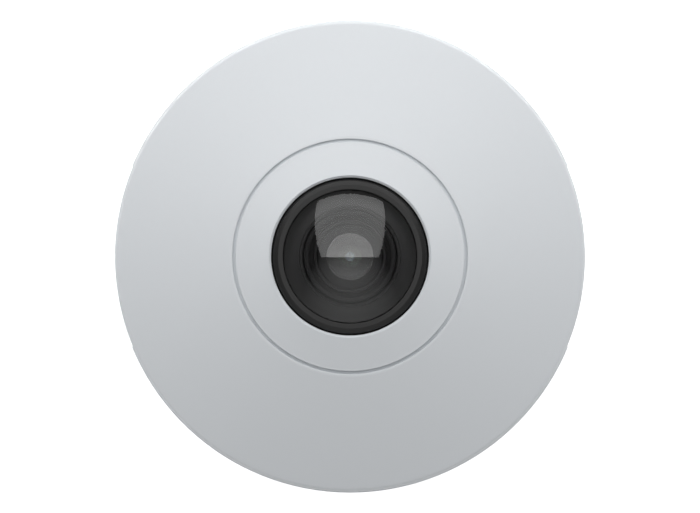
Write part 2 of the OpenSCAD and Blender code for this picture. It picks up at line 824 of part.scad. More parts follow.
// Electrolytic capacitors of the power supply
module capacitors() {
    color([0.7, 0.71, 0.73]) {
        translate(concat(board_r * capacitor_big_share, board_top))
            capacitor(capacitor_big_r, capacitor_big_h);
        for (p = capacitor_small_shares)
            translate(concat(board_r * p, board_top)) capacitor(capacitor_small_r, capacitor_small_h);
    }
}

// Power inductors
module inductors() {
    color([0.22, 0.22, 0.23]) for (p = inductor_place_shares) {
        block([inductor_side, inductor_side, inductor_h - inductor_ease], board_r * p, board_top);
        translate(concat(board_r * p, board_top))
            cylinder(r = inductor_top_r, h = inductor_h, $fn = 48);
    }
}

// Holder for a memory card, its mouth at the board's edge
module memory_card_slot() {
    color([0.74, 0.74, 0.76]) difference() {
        block(card_slot_size, board_r * card_slot_place_share, board_top);
        translate([board_r * card_slot_place_share[0], board_r * card_slot_place_share[1] - card_mouth_w / 2,
                board_top + card_slot_skin])
            cube([card_slot_size[0], card_mouth_w, card_mouth_h]);
    }
}

// Body of the reset switch, open at the top for its button
module reset_switch() {
    place = board_r * switch_place_share;
    color([0.2, 0.2, 0.21]) difference() {
        block([switch_side, switch_side, switch_h], place, board_top);
        translate(concat(place, board_top + switch_h - button_seat - button_travel - run_gap))
            cylinder(r = button_r + run_gap, h = switch_h, $fn = 48);
    }
}

// Button of the reset switch
module reset_button() {
    color([0.9, 0.9, 0.9])
        translate(concat(board_r * switch_place_share, board_top + switch_h - button_seat))
            cylinder(r = button_r, h = button_rise + button_seat, $fn = 48);
}

// Status light on the main board
module status_led() {
    place = board_r * led_place_share;
    color([0.92, 0.92, 0.86]) {
        block([led_size[0], led_size[1], led_size[2] / 2], place, board_top);
        translate(concat(place, board_top)) cylinder(r = led_lens_r, h = led_size[2], $fn = 32);
    }
}

// Connector shell with a slit for the flat cable
module flex_connector(z) {
    difference() {
        translate([flex_connector_x, -flex_w / 2 - flex_side_gap, z])
            cube([flex_connector_l, flex_w + 2 * flex_side_gap, flex_connector_h]);
        translate([flex_connector_x + flex_connector_l - flex_grip - seat_gap, -flex_w / 2 - seat_gap,
                z + flex_connector_h / 2 - flex_t / 2 - seat_gap])
            cube([flex_connector_l, flex_w + 2 * seat_gap, flex_t + 2 * seat_gap]);
    }
}

// Connectors for the flat cable, one on each board
module flex_connectors() {
    color([0.9, 0.88, 0.8]) {
        flex_connector(board_top);
        flex_connector(sensor_board_z - flex_connector_h);
    }
}

// Flat cable that loops from the sensor board down to the main board
module flex_cable() {
    start_x = flex_connector_x + flex_connector_l - flex_grip;
    color([0.85, 0.5, 0.2]) translate([0, flex_w / 2, 0]) rotate([90, 0, 0]) linear_extrude(flex_w) {
        for (z = [flex_low_z, flex_high_z])
            translate([start_x, z - flex_t / 2]) square([flex_bend_x - start_x + seat_gap, flex_t]);
        translate([flex_bend_x, (flex_low_z + flex_high_z) / 2]) intersection() {
            difference() {
                circle(r = flex_bend_r + flex_t / 2, $fn = 48);
                circle(r = flex_bend_r - flex_t / 2, $fn = 48);
            }
            translate([0, -flex_bend_r - flex_t]) square(2 * (flex_bend_r + flex_t));
        }
    }
}

// Black moulded tower that carries the sensor, the shroud, the window and the bezel
module optic_carrier() {
    color(black_plastic) difference() {
        union() {
            rotate_extrude() polygon([
                [tower_in_r, carrier_z], [tower_r, carrier_z], [tower_r, seat_z - carrier_flange_t],
                [carrier_flange_r, seat_z - carrier_flange_t], [carrier_flange_r, seat_z],
                [carrier_bore_r, seat_z], [carrier_bore_r, shroud_ledge_z], [shroud_ledge_r, shroud_ledge_z],
                [shroud_ledge_r, shroud_ledge_z - shroud_ledge_t],
                [tower_in_r, shroud_ledge_z - shroud_ledge_t]
            ]);
            for (a = post_angles) rotate(a) {
                translate([post_pos, 0, carrier_z]) cylinder(r = ear_r, h = ear_t, $fn = 48);
                translate([tower_in_r + root, -ear_w / 2, carrier_z])
                    cube([post_pos - tower_in_r - root, ear_w, ear_t]);
            }
            for (x = [-1, 1], y = [-1, 1]) {
                translate([x * sensor_boss_pos, y * sensor_boss_pos, carrier_z])
                    cylinder(r = sensor_boss_r, h = sensor_boss_rise, $fn = 48);
                rotate(atan2(y, x)) translate([sensor_boss_pos * sqrt(2), -sensor_rib_w / 2, carrier_z])
                    cube([tower_in_r + root - sensor_boss_pos * sqrt(2), sensor_rib_w, sensor_boss_rise]);
            }
            carrier_webs();
        }
        around(post_angles, post_pos)
            translate([0, 0, carrier_z - cut])
                cylinder(r = screw_r + screw_clear, h = ear_t + 2 * cut, $fn = 24);
        for (x = [-1, 1], y = [-1, 1])
            translate([x * sensor_boss_pos, y * sensor_boss_pos, carrier_z - cut])
                cylinder(r = small_screw_r + pilot_gap, h = sensor_boss_rise + 2 * cut, $fn = 24);
        around(bezel_screw_angles, bezel_screw_pos)
            translate([0, 0, seat_z - carrier_flange_t - cut])
                cylinder(r = small_screw_r + screw_clear, h = carrier_flange_t + 2 * cut, $fn = 24);
        for (i = [0:carrier_vent_count - 1]) rotate(i * 360 / carrier_vent_count - carrier_vent_angle / 2)
            arc_bar(tower_in_r - cut, tower_r + cut, 0, carrier_vent_angle, carrier_z + carrier_vent_rise,
                carrier_z + carrier_vent_rise + carrier_vent_h);
    }
}

// Webs that brace the carrier's flange against its tower
module carrier_webs() {
    for (i = [0:carrier_web_count - 1]) rotate(i * 360 / carrier_web_count + carrier_web_turn)
        translate([0, carrier_web_t / 2, 0]) rotate([90, 0, 0]) linear_extrude(carrier_web_t) polygon([
            [tower_r - root, seat_z - carrier_flange_t - carrier_web_h],
            [tower_r + root, seat_z - carrier_flange_t - carrier_web_h],
            [carrier_flange_r - root, seat_z - carrier_flange_t + root],
            [tower_r - root, seat_z - carrier_flange_t + root]
        ]);
}

// Screws that hold the carrier on the base posts
module carrier_screws() {
    color(steel_colour) around(post_angles, post_pos)
        translate([0, 0, carrier_z + ear_t]) screw(screw_r, carrier_screw_l, screw_head_r, screw_head_h);
}

// Board of the image sensor
module sensor_board() {
    color(board_colour) difference() {
        block([sensor_board_side, sensor_board_side, sensor_board_t], [0, 0], sensor_board_z);
        for (x = [-1, 1], y = [-1, 1])
            translate([x * sensor_boss_pos, y * sensor_boss_pos, sensor_board_z - cut])
                cylinder(r = small_screw_r + screw_clear, h = sensor_board_t + 2 * cut, $fn = 24);
        mount_screw_holes(small_screw_r + screw_clear, sensor_board_z - cut, sensor_top + cut);
    }
}

// Screws that hold the sensor board
module sensor_screws() {
    color(steel_colour) for (x = [-1, 1], y = [-1, 1])
        translate([x * sensor_boss_pos, y * sensor_boss_pos, sensor_top])
            screw(small_screw_r, sensor_screw_l, small_head_r, small_head_h);
}

// Image sensor with a glass-covered window in its top
module image_sensor() {
    color([0.25, 0.27, 0.33]) difference() {
        block(sensor_size, [0, 0], sensor_top);
        block([sensor_size[0] * sensor_glass_share, sensor_size[1] * sensor_glass_share, sensor_size[2]],
            [0, 0], sensor_top + sensor_size[2] - sensor_glass_deep);
    }
}

// Holes through the stack for the two screws of the lens mount
module mount_screw_holes(r, z0, z1) {
    for (p = [[-mount_screw_x, mount_screw_low_y], [mount_screw_x, mount_screw_high_y]])
        translate([p[0], p[1], z0]) cylinder(r = r, h = z1 - z0, $fn = 24);
}

// Outline of the filter housing and what lies on it
module filter_block(z, h) {
    translate([-housing_half_x, housing_y0, z]) cube([2 * housing_half_x, housing_y1 - housing_y0, h]);
}

// Tray with the shuttle's track, over the image sensor
module filter_housing() {
    color(black_plastic) difference() {
        filter_block(sensor_top, track_z1 - sensor_top);
        translate([-track_half_x, track_y0, track_z0])
            cube([2 * track_half_x, track_y1 - track_y0, track_z1]);
        block([sensor_size[0] + 2 * sensor_room, sensor_size[1] + 2 * sensor_room,
            sensor_room_z - sensor_top + cut], [0, 0], sensor_top - cut);
        translate([0, 0, sensor_room_z - cut])
            cylinder(r = light_hole_r, h = track_floor_t + 2 * cut, $fn = 48);
        translate([-coil_size[0] / 2 - coil_wall, track_y1 + coil_wall, track_z1 - coil_size[2] - coil_wall])
            cube([coil_size[0] + 2 * coil_wall, coil_size[1] + coil_wall / 2, coil_size[2] + 2 * coil_wall]);
        mount_screw_holes(small_screw_r + screw_clear, sensor_top - cut, track_z1 + cut);
    }
}

// Shuttle that swaps the two filters in front of the sensor
module filter_shuttle() {
    color([0.16, 0.16, 0.17]) difference() {
        block([shuttle_l, shuttle_w, shuttle_t], [shuttle_x, 0], shuttle_z);
        for (x = filter_places) {
            block([filter_side - 2 * glass_ledge, filter_side - 2 * glass_ledge, shuttle_t + 2 * cut],
                [x, 0], shuttle_z - cut);
            block([filter_side + 2 * glass_gap, filter_side + 2 * glass_gap, shuttle_t],
                [x, 0], shuttle_z + shuttle_t - glass_t - glass_gap);
        }
    }
}

// A square filter in its seat on the shuttle
module filter_glass(x) {
    block([filter_side, filter_side, glass_t], [x, 0], shuttle_z + shuttle_t - glass_t - glass_gap);
}

// Filter that holds back infrared light by day
module ir_cut_glass() {
    color([0.75, 0.4, 0.45, 0.6]) filter_glass(filter_places[0]);
}

// Clear filter for use at night
module clear_glass() {
    color(glass_colour) filter_glass(filter_places[1]);
}

// Magnet on the shuttle's edge
module shuttle_magnet() {
    color([0.5, 0.5, 0.52])
        block(magnet_size, [shuttle_x, (shuttle_w + magnet_size[1]) / 2],
            shuttle_z + (shuttle_t - magnet_size[2]) / 2);
}

// Coil that drives the shuttle
module drive_coil() {
    y = track_y1 + coil_wall + coil_size[1] / 2;
    color([0.72, 0.42, 0.2]) difference() {
        block(coil_size, [0, y], track_z1 - coil_size[2]);
        block([coil_size[0] * coil_core_share, coil_size[1] + 2 * cut, coil_size[2] * coil_core_share],
            [0, y], track_z1 - coil_size[2] + coil_size[2] * (1 - coil_core_share) / 2);
    }
}

// Lid over the shuttle's track
module filter_lid() {
    color(black_plastic) difference() {
        filter_block(lid_z, lid_t);
        translate([0, 0, lid_z - cut]) cylinder(r = light_hole_r, h = lid_t + 2 * cut, $fn = 48);
        mount_screw_holes(small_screw_r + screw_clear, lid_z - cut, lid_top + cut);
    }
}

// Lens mount: a plate and a collar with gussets
module lens_mount() {
    color(black_plastic) difference() {
        union() {
            filter_block(lid_top, mount_plate_t);
            translate([0, 0, lid_top]) cylinder(r = mount_r, h = mount_h);
            for (a = [0, 90, 180, 270]) rotate(a + 45)
                translate([0, mount_gusset_t / 2, lid_top + mount_plate_t]) rotate([90, 0, 0])
                    linear_extrude(mount_gusset_t) polygon([
                        [mount_r - root, -root], [mount_r + mount_gusset_r, -root],
                        [mount_r - root, mount_h - mount_plate_t - root]
                    ]);
        }
        translate([0, 0, lid_top - cut]) cylinder(r = light_hole_r, h = mount_floor_t + 2 * cut, $fn = 48);
        translate([0, 0, lid_top + mount_floor_t]) cylinder(r = thread_r + thread_gap, h = mount_h);
        mount_screw_holes(small_screw_r + screw_clear, lid_top - cut, lid_top + mount_plate_t + cut);
    }
}

// Two long screws that clamp the lens mount, the lid and the housing to the sensor board
module mount_screws() {
    top = lid_top + mount_plate_t;
    color(steel_colour) for (p = [[-mount_screw_x, mount_screw_low_y], [mount_screw_x, mount_screw_high_y]])
        translate([p[0], p[1], top])
            screw(small_screw_r, top - sensor_board_z - mount_screw_end, small_head_r, small_head_h);
}

// Ring nut that locks the focused lens
module lens_lock_ring() {
    color([0.3, 0.3, 0.31]) translate([0, 0, lock_ring_z]) difference() {
        cylinder(r = lock_ring_r, h = lock_ring_t);
        translate([0, 0, -cut]) cylinder(r = thread_r + thread_gap, h = lock_ring_t + 2 * cut);
        for (i = [0:lock_notch_count - 1]) rotate(i * 360 / lock_notch_count)
            translate([lock_ring_r, 0, -cut])
                cylinder(r = lock_notch_r, h = lock_ring_t + 2 * cut, $fn = 24);
    }
}

// Lens barrel: threaded stem and a ridged head
module lens_barrel() {
    rim_r = retainer_r + seat_gap;
    rim_out = rim_r + barrel_rim_w;
    step_out = rim_out + barrel_step_w;
    color([0.1, 0.1, 0.105]) rotate_extrude() polygon([
        [rear_bore_r, barrel_z0], [thread_r, barrel_z0], [thread_r, neck_z], [head_r, head_z],
        [head_r, lens_front_z - barrel_edge_drop],
        [step_out + barrel_ridge_w, lens_front_z - barrel_ridge_drop],
        [step_out + seat_gap, lens_front_z - barrel_ridge_drop],
        [step_out, lens_front_z - barrel_step_drop],
        [rim_out + seat_gap, lens_front_z - barrel_step_drop],
        [rim_out, lens_front_z - barrel_rim_drop], [rim_r, lens_front_z - barrel_rim_drop],
        [rim_r, front_seat_z], [spacer_bore_r, front_seat_z], [spacer_bore_r, inner_seat_z],
        [inner_r + glass_gap, inner_seat_z], [inner_r + glass_gap, inner_floor_z],
        [rear_bore_r, inner_floor_z], [rear_bore_r, stop_z + stop_t], [stop_r, stop_z + stop_t],
        [stop_r, stop_z], [rear_bore_r, stop_z]
    ]);
}

// Front element: shallow crown outside, deep bowl inside, flange at its foot
module front_element() {
    color(glass_colour) rotate_extrude() difference() {
        union() {
            intersection() {
                translate([0, lens_front_z - front_ball_r]) circle(r = front_ball_r, $fn = 360);
                translate([0, front_seat_z + seat_gap])
                    square([front_view_r - glass_gap, lens_front_z - front_seat_z]);
            }
            translate([0, front_seat_z + glass_gap])
                square([front_flange_r - glass_gap, front_flange_t - 2 * glass_gap]);
        }
        translate([0, lens_front_z - front_bowl_drop - front_bowl_r]) circle(r = front_bowl_r);
        translate([-front_ball_r, 0]) square([front_ball_r, window_apex_z]);
    }
}

// Ring that screws in over the front element's flange
module front_retainer() {
    color([0.06, 0.06, 0.065]) difference() {
        rotate_extrude() polygon([
            [front_flange_r, front_seat_z + seat_gap], [retainer_r, front_seat_z + seat_gap],
            [retainer_r, lens_front_z - retainer_outer_drop],
            [front_view_r, lens_front_z - retainer_inner_drop], [front_view_r, front_flange_z1],
            [front_flange_r, front_flange_z1]
        ]);
        around([0, 180], front_view_r + retainer_w / 2)
            translate([0, 0, lens_front_z - retainer_outer_drop - retainer_hole_deep])
                cylinder(r = retainer_hole_r, h = retainer_w, $fn = 24);
    }
}

// Strongly curved second element with a greenish coating
module inner_element() {
    color([0.45, 0.7, 0.6, 0.6]) rotate_extrude() {
        intersection() {
            translate([0, inner_apex_z - inner_ball_r]) circle(r = inner_ball_r);
            translate([0, inner_seat_z - root]) square([inner_view_r, inner_ball_r]);
        }
        translate([0, inner_floor_z]) square([inner_r, inner_flange_t]);
    }
}

// Spacer between the front element and the second one
module lens_spacer() {
    color([0.05, 0.05, 0.05]) translate([0, 0, inner_seat_z + glass_gap])
        ring(spacer_bore_r - glass_gap, inner_view_r, front_seat_z - inner_seat_z - 2 * glass_gap);
}

// Rear element, domed on both sides
module rear_element() {
    mid_z = (rear_z0 + rear_z1) / 2;
    color(glass_colour) rotate_extrude() intersection() {
        translate([0, rear_z0 + rear_ball_r]) circle(r = rear_ball_r, $fn = 240);
        translate([0, rear_z1 - rear_ball_r]) circle(r = rear_ball_r, $fn = 240);
        translate([0, mid_z - rear_l]) square([rear_r, 2 * rear_l]);
    }
}

// Ring that holds the rear element
module rear_retainer() {
    color([0.06, 0.06, 0.065]) translate([0, 0, barrel_z0 + seat_gap])
        ring(rear_r, rear_r - rear_retainer_w, rear_retainer_t);
}

// Black shroud that fills the view between the ring and the lens
module lens_shroud() {
    lip_z = shroud_top_z - shroud_lip_h;
    color([0.08, 0.08, 0.085]) rotate_extrude() polygon([
        [shroud_in_r, lip_z - shroud_collar_h], [shroud_in_r, lip_z],
        [shroud_in_r + shroud_lip_w, lip_z], [shroud_in_r + shroud_lip_w + seat_gap, shroud_top_z],
        [shroud_out_r, shroud_rim_z], [shroud_out_r, shroud_ledge_z],
        [shroud_out_r - shroud_t, shroud_ledge_z], [shroud_out_r - shroud_t, shroud_rim_z - shroud_t / 2],
        [shroud_in_r + shroud_t, lip_z - shroud_t], [shroud_in_r + shroud_t, lip_z - shroud_collar_h]
    ]);
}

// Rubber ring under the window's flange
module window_gasket() {
    color([0.15, 0.15, 0.16]) translate([0, 0, seat_z]) ring(window_flange_r, gasket_in_r, gasket_t);
}

// Domed window: a spherical shell with a flange
module dome_window() {
    color(glass_colour) rotate_extrude() {
        intersection() {
            translate([0, window_cz]) difference() {
                circle(r = window_ball_r, $fn = 360);
                circle(r = window_ball_r - window_t, $fn = 360);
            }
            translate([0, window_flange_z0]) square([window_rim_r, window_apex_z]);
        }
        translate([window_rim_r - root, window_flange_z0]) square([window_flange_w + root, window_flange_t]);
    }
}

// Black ring that clamps the window on its gasket
module window_ring() {
    color([0.12, 0.12, 0.12]) rotate_extrude() polygon(concat(
        [
            [window_flange_r + ring_wall_gap, seat_z], [ring_foot_r, seat_z],
            [ring_foot_r, seat_z + ring_foot_t], [ring_r, seat_z + ring_foot_t]
        ],
        corner_points([ring_bead_cr, ring_bead_cz], ring_bead_r, 0, ring_bead_angle, ring_bead_steps),
        [
            [view_r + ring_flat_w, ring_top_z], [view_r, ring_top_z], [view_r, window_edge_z + seat_gap],
            [window_rim_r + ring_lip_t, window_edge_z - window_edge_drop],
            [window_rim_r + ring_lip_t, window_flange_z1 + seat_gap],
            [window_flange_r + ring_wall_gap, window_flange_z1 + seat_gap]
        ]
    ));
}

// Bezel: the white disc round the lens, with bosses for its screws
module optic_bezel() {
    color(shell_colour) difference() {
        union() {
            rotate_extrude() polygon(concat(
                [[open_r + bezel_collar_w, bezel_collar_z], [open_r, bezel_collar_z]],
                corner_points([open_r + bezel_round, bezel_round_z], bezel_round, 180, 90 - crown_slope,
                    edge_steps),
                crown_points(bezel_face_r, bezel_r - bezel_ease, 0, edge_steps),
                [[bezel_r, crown_z(bezel_r) - bezel_ease]],
                crown_points(bezel_r, ledge_r, ledge_drop, rim_steps),
                crown_points(ledge_r, open_r + bezel_collar_w, ledge_drop + rim_t, edge_steps)
            ));
            around(bezel_screw_angles, bezel_screw_pos)
                translate([0, 0, seat_z]) cylinder(r = bezel_boss_r, h = bezel_boss_z - seat_z, $fn = 48);
        }
        around(bezel_screw_angles, bezel_screw_pos)
            translate([0, 0, seat_z - cut])
                cylinder(r = small_screw_r + pilot_gap, h = bezel_boss_z - seat_z + cut - pilot_gap,
                    $fn = 24);
    }
}

// Screws that hold the bezel, from under the carrier's flange
module bezel_screws() {
    color(steel_colour) around(bezel_screw_angles, bezel_screw_pos)
        translate([0, 0, seat_z - carrier_flange_t]) rotate([180, 0, 0])
            screw(small_screw_r, bezel_screw_top - seat_z + carrier_flange_t, small_head_r, small_head_h);
}

// Front cover: the large white shell that snaps over the base
module front_cover() {
    color(shell_colour) union() {
        rotate_extrude() polygon(concat(
            [[cover_in_r, skirt_z], [cover_r, skirt_z]],
            corner_points([cover_r - edge_round, edge_cz], edge_round, 0, 90 - edge_slope, edge_steps),
            crown_points(edge_end_r, hole_r + rim_ease, 0, crown_steps),
            [[hole_r, crown_z(hole_r) - rim_ease]],
            crown_points(hole_r, rebate_r, rim_t, rim_steps),
            crown_points(rebate_r, cover_in_r, wall, crown_steps),
            [
                [cover_in_r, clip_z + clip_groove_mouth],
                [cover_in_r + clip_groove_deep, clip_z + clip_groove_floor],
                [cover_in_r + clip_groove_deep, clip_z - clip_groove_floor],
                [cover_in_r, clip_z - clip_groove_mouth]
            ]
        ));
        for (i = [0:cover_rib_count - 1]) rotate((i + 0.5) * 360 / cover_rib_count - cover_rib_angle / 2)
            rotate_extrude(angle = cover_rib_angle) polygon([
                [cover_rib_r, cover_rib_z], [cover_in_r + root, cover_rib_z],
                [cover_in_r + root, crown_z(cover_in_r) - wall],
                [cover_rib_r, crown_z(cover_rib_r) - wall + root]
            ]);
    }
}

mounting_bracket();
base_housing();
cable_grommet();
cover_clips();
heat_spreader();
thermal_pad();
processor();
main_board();
board_screws();
memory_chips();
ethernet_jack();
jack_contacts();
network_transformer();
capacitors();
inductors();
memory_card_slot();
reset_switch();
reset_button();
status_led();
flex_connectors();
flex_cable();
optic_carrier();
carrier_screws();
sensor_board();
sensor_screws();
image_sensor();
filter_housing();
filter_shuttle();
ir_cut_glass();
clear_glass();
shuttle_magnet();
drive_coil();
filter_lid();
lens_mount();
mount_screws();
lens_lock_ring();
lens_barrel();
front_element();
front_retainer();
inner_element();
lens_spacer();
rear_element();
rear_retainer();
lens_shroud();
window_gasket();
dome_window();
window_ring();
optic_bezel();
bezel_screws();
front_cover();
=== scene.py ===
import math

import bpy
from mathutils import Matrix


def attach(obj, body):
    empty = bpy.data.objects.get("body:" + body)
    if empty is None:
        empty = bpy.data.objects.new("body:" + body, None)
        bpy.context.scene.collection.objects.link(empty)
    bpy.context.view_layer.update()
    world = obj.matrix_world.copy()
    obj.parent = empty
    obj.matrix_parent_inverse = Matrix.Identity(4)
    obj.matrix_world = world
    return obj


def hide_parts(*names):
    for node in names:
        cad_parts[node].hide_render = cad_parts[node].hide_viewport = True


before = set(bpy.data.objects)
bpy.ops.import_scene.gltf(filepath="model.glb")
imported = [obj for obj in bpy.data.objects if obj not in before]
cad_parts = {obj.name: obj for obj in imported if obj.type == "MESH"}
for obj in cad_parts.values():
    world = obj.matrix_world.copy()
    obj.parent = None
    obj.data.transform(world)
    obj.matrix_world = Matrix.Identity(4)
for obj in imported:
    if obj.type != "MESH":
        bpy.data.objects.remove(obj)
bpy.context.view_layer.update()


# Mounting bracket: a pressed steel disc with a rolled rim and three hooks, screwed to the
# ceiling. It is powder coated, so its edges are soft and its face has a fine orange peel.
MM = 0.001


def finish(name, colour, roughness, grain, relief, drift=0.05, metallic=0.0, stretch=(1, 1, 1),
           shine=0.5):
    """A finish whose colour drifts, whose gloss varies, and whose grain (mm) has a relief (mm)."""
    material = bpy.data.materials.new(name)
    material.use_nodes = True
    nodes, links = material.node_tree.nodes, material.node_tree.links
    shader = nodes["Principled BSDF"]
    shader.inputs["Metallic"].default_value = metallic
    shader.inputs["Specular IOR Level"].default_value = shine
    place = nodes.new("ShaderNodeTexCoord")
    fit = nodes.new("ShaderNodeMapping")
    fit.inputs["Scale"].default_value = stretch
    links.new(place.outputs["Object"], fit.inputs["Vector"])

    # Soft clouds about 18 mm wide carry the drift in colour.
    cloud = nodes.new("ShaderNodeTexNoise")
    cloud.name = "Cloud"
    cloud.inputs["Scale"].default_value = 55
    cloud.inputs["Detail"].default_value = 3
    links.new(fit.outputs["Vector"], cloud.inputs["Vector"])
    tint = nodes.new("ShaderNodeMix")
    tint.name = "Tint"
    tint.data_type = "RGBA"
    tint.inputs["A"].default_value = [c * (1 - drift) for c in colour] + [1]
    tint.inputs["B"].default_value = [min(1, c * (1 + drift)) for c in colour] + [1]
    links.new(cloud.outputs["Fac"], tint.inputs["Factor"])
    links.new(tint.outputs["Result"], shader.inputs["Base Color"])

    # The fine grain changes the gloss a little, and stands up as a relief.
    speck = nodes.new("ShaderNodeTexNoise")
    speck.name = "Grain"
    speck.inputs["Scale"].default_value = 1 / (grain * MM)
    speck.inputs["Detail"].default_value = 2
    links.new(fit.outputs["Vector"], speck.inputs["Vector"])
    gloss = nodes.new("ShaderNodeMapRange")
    gloss.inputs["To Min"].default_value = max(0.02, roughness - 0.06)
    gloss.inputs["To Max"].default_value = min(1, roughness + 0.06)
    links.new(speck.outputs["Fac"], gloss.inputs["Value"])
    links.new(gloss.outputs["Result"], shader.inputs["Roughness"])
    if relief:
        bump = nodes.new("ShaderNodeBump")
        bump.name = "Relief"
        bump.inputs["Strength"].default_value = 0.6
        bump.inputs["Distance"].default_value = relief * MM
        links.new(speck.outputs["Fac"], bump.inputs["Height"])
        links.new(bump.outputs["Normal"], shader.inputs["Normal"])
    return material


def alone(piece):
    """Select this piece and nothing else."""
    bpy.ops.object.select_all(action="DESELECT")
    piece.select_set(True)
    bpy.context.view_layer.objects.active = piece


def eased(node):
    """A copy of a solid with its loose triangles joined and its round faces shaded smooth."""
    piece = bpy.data.objects.new(node + "_skin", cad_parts[node].data.copy())
    bpy.context.collection.objects.link(piece)
    alone(piece)
    bpy.ops.mesh.customdata_custom_splitnormals_clear()
    bpy.ops.object.mode_set(mode="EDIT")
    bpy.ops.mesh.select_all(action="SELECT")
    bpy.ops.mesh.remove_doubles(threshold=2e-6)
    bpy.ops.object.mode_set(mode="OBJECT")
    bpy.ops.object.shade_smooth_by_angle(angle=math.radians(32))
    return piece


def dress(piece, material, slot, body, *nodes):
    """Give a piece its finish, the body it rides on and the solids it stands for. The slot is not
    used.
    """
    piece.data.materials.clear()
    piece.data.materials.append(material)
    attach(piece, body)
    if nodes:
        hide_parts(*nodes)


powder_coat = finish("grey_powder_coat", (0.6, 0.61, 0.62), 0.5, 0.9, 0.02)
dress(eased("mounting_bracket"), powder_coat, "bracket_steel", "bracket", "mounting_bracket")


# Base housing: the moulded tray behind the cover, with posts, bosses and ribs.
# It is the same pale cool-grey plastic as the cover, spark-eroded to a fine satin.
shell = finish("pale_satin_plastic", (0.708, 0.736, 0.762), 0.5, 0.25, 0.0016, drift=0.005)
dress(eased("base_housing"), shell, "shell", "camera", "base_housing")


# Cable grommet: a soft black rubber bush that seals the floor round the cable.
# It is moulded with two flanges that snap over the edge of the hole.
rubber = finish("black_rubber", (0.028, 0.028, 0.029), 0.75, 0.35, 0.01, drift=0.15)


def arc(centre, radius, start, end, steps):
    """Points of an arc in the section plane, from one angle to another, in mm."""
    angles = [math.radians(start + (end - start) * i / steps) for i in range(steps + 1)]
    return [(centre[0] + radius * math.cos(a), centre[1] + radius * math.sin(a)) for a in angles]


def turned(name, section, steps=192, centre=(0, 0)):
    """Draw a half section point by point, in mm, and spin it about the axis through its centre."""
    x, y = centre[0] * MM, centre[1] * MM
    start = (x + section[0][0] * MM, y, section[0][1] * MM)
    bpy.ops.object.select_all(action="DESELECT")
    bpy.ops.mesh.primitive_plane_add(size=MM, location=start)
    piece = bpy.context.object
    piece.name = piece.data.name = name
    bpy.ops.object.transform_apply(location=True, rotation=True, scale=True)
    bpy.ops.object.mode_set(mode="EDIT")
    bpy.ops.mesh.select_all(action="SELECT")
    bpy.ops.mesh.merge(type="CENTER")
    path = section + section[:1]
    for (r0, z0), (r1, z1) in zip(path, path[1:]):
        step = ((r1 - r0) * MM, 0, (z1 - z0) * MM)
        bpy.ops.mesh.extrude_vertices_move(TRANSFORM_OT_translate={"value": step})
    bpy.ops.mesh.select_all(action="SELECT")
    bpy.ops.mesh.spin(steps=steps, angle=2 * math.pi, center=(x, y, 0), axis=(0, 0, 1))
    bpy.ops.mesh.select_all(action="SELECT")
    bpy.ops.mesh.remove_doubles(threshold=1e-6)
    bpy.ops.mesh.normals_make_consistent(inside=False)
    bpy.ops.object.mode_set(mode="OBJECT")
    bpy.ops.object.shade_smooth_by_angle(angle=math.radians(30))
    return piece


CABLE_HOLE = (-37.1, -38.408)
BORE, NECK, LIP = 5.5, 8.4, 9.95
FLOOR_UNDER, FLOOR_TOP = 4.1, 6.3
grommet_section = (
    [(BORE, 3.4)] + arc((5.7, 3.4), 0.2, 180, 270, 3)
    + [(NECK, 3.2)] + arc((9.7, 3.9), 0.4, -50, 30, 3)
    + [(LIP, FLOOR_UNDER), (NECK, FLOOR_UNDER), (NECK, FLOOR_TOP), (LIP, FLOOR_TOP)]
    + arc((9.9, 6.5), 0.2, -60, 0, 2) + arc((9.8, 6.95), 0.3, 0, 80, 3)
    + arc((5.8, 8.05), 0.3, 75, 180, 4)
)
grommet = turned("cable_grommet_moulded", grommet_section, 64, CABLE_HOLE)
dress(grommet, rubber, "rubber", "camera", "cable_grommet")


# Cover clips: four leaf springs of cold-rolled steel, staked to the tray.
# Their noses snap into the groove inside the cover's skirt.
spring_steel = finish("cold_rolled_steel", (0.62, 0.62, 0.63), 0.32, 0.12, 0.002, metallic=1.0,
                      stretch=(1, 1, 0.08))
dress(eased("cover_clips"), spring_steel, "spring_steel", "camera", "cover_clips")


# Heat spreader and thermal pad: a mill-finished aluminium plate and a soft blue-grey pad.
# They carry the processor's heat into the tray's floor.
mill_aluminium = finish("mill_aluminium", (0.75, 0.76, 0.78), 0.38, 0.3, 0.003, metallic=1.0,
                        stretch=(0.1, 1, 1))
gap_pad = finish("thermal_pad", (0.3, 0.38, 0.46), 0.8, 0.5, 0.02, drift=0.1)
dress(eased("heat_spreader"), mill_aluminium, "spreader_aluminium", "camera", "heat_spreader")
dress(eased("thermal_pad"), gap_pad, "thermal_pad", "camera", "thermal_pad")


# Main board and sensor board: green solder mask over copper, on glass-fibre sheet.
# Traces show as lighter paths under the mask, in patches, as they run between the parts.
mask = finish("solder_mask", (0.010, 0.085, 0.040), 0.28, 0.4, 0.004, drift=0.12)
nodes, links = mask.node_tree.nodes, mask.node_tree.links
traces = nodes.new("ShaderNodeTexBrick")
traces.inputs["Scale"].default_value = 420
traces.inputs["Mortar Size"].default_value = 0.07
traces.inputs["Brick Width"].default_value = 4.5
traces.inputs["Row Height"].default_value = 0.42
traces.inputs["Color1"].default_value = (0, 0, 0, 1)
traces.inputs["Color2"].default_value = (0, 0, 0, 1)
traces.inputs["Mortar"].default_value = (1, 1, 1, 1)
links.new(nodes["Mapping"].outputs["Vector"], traces.inputs["Vector"])
patches = nodes.new("ShaderNodeMapRange")
patches.inputs["From Min"].default_value = 0.5
patches.inputs["From Max"].default_value = 0.52
links.new(nodes["Cloud"].outputs["Fac"], patches.inputs["Value"])
routed = nodes.new("ShaderNodeMath")
routed.operation = "MULTIPLY"
links.new(traces.outputs["Color"], routed.inputs[0])
links.new(patches.outputs["Result"], routed.inputs[1])
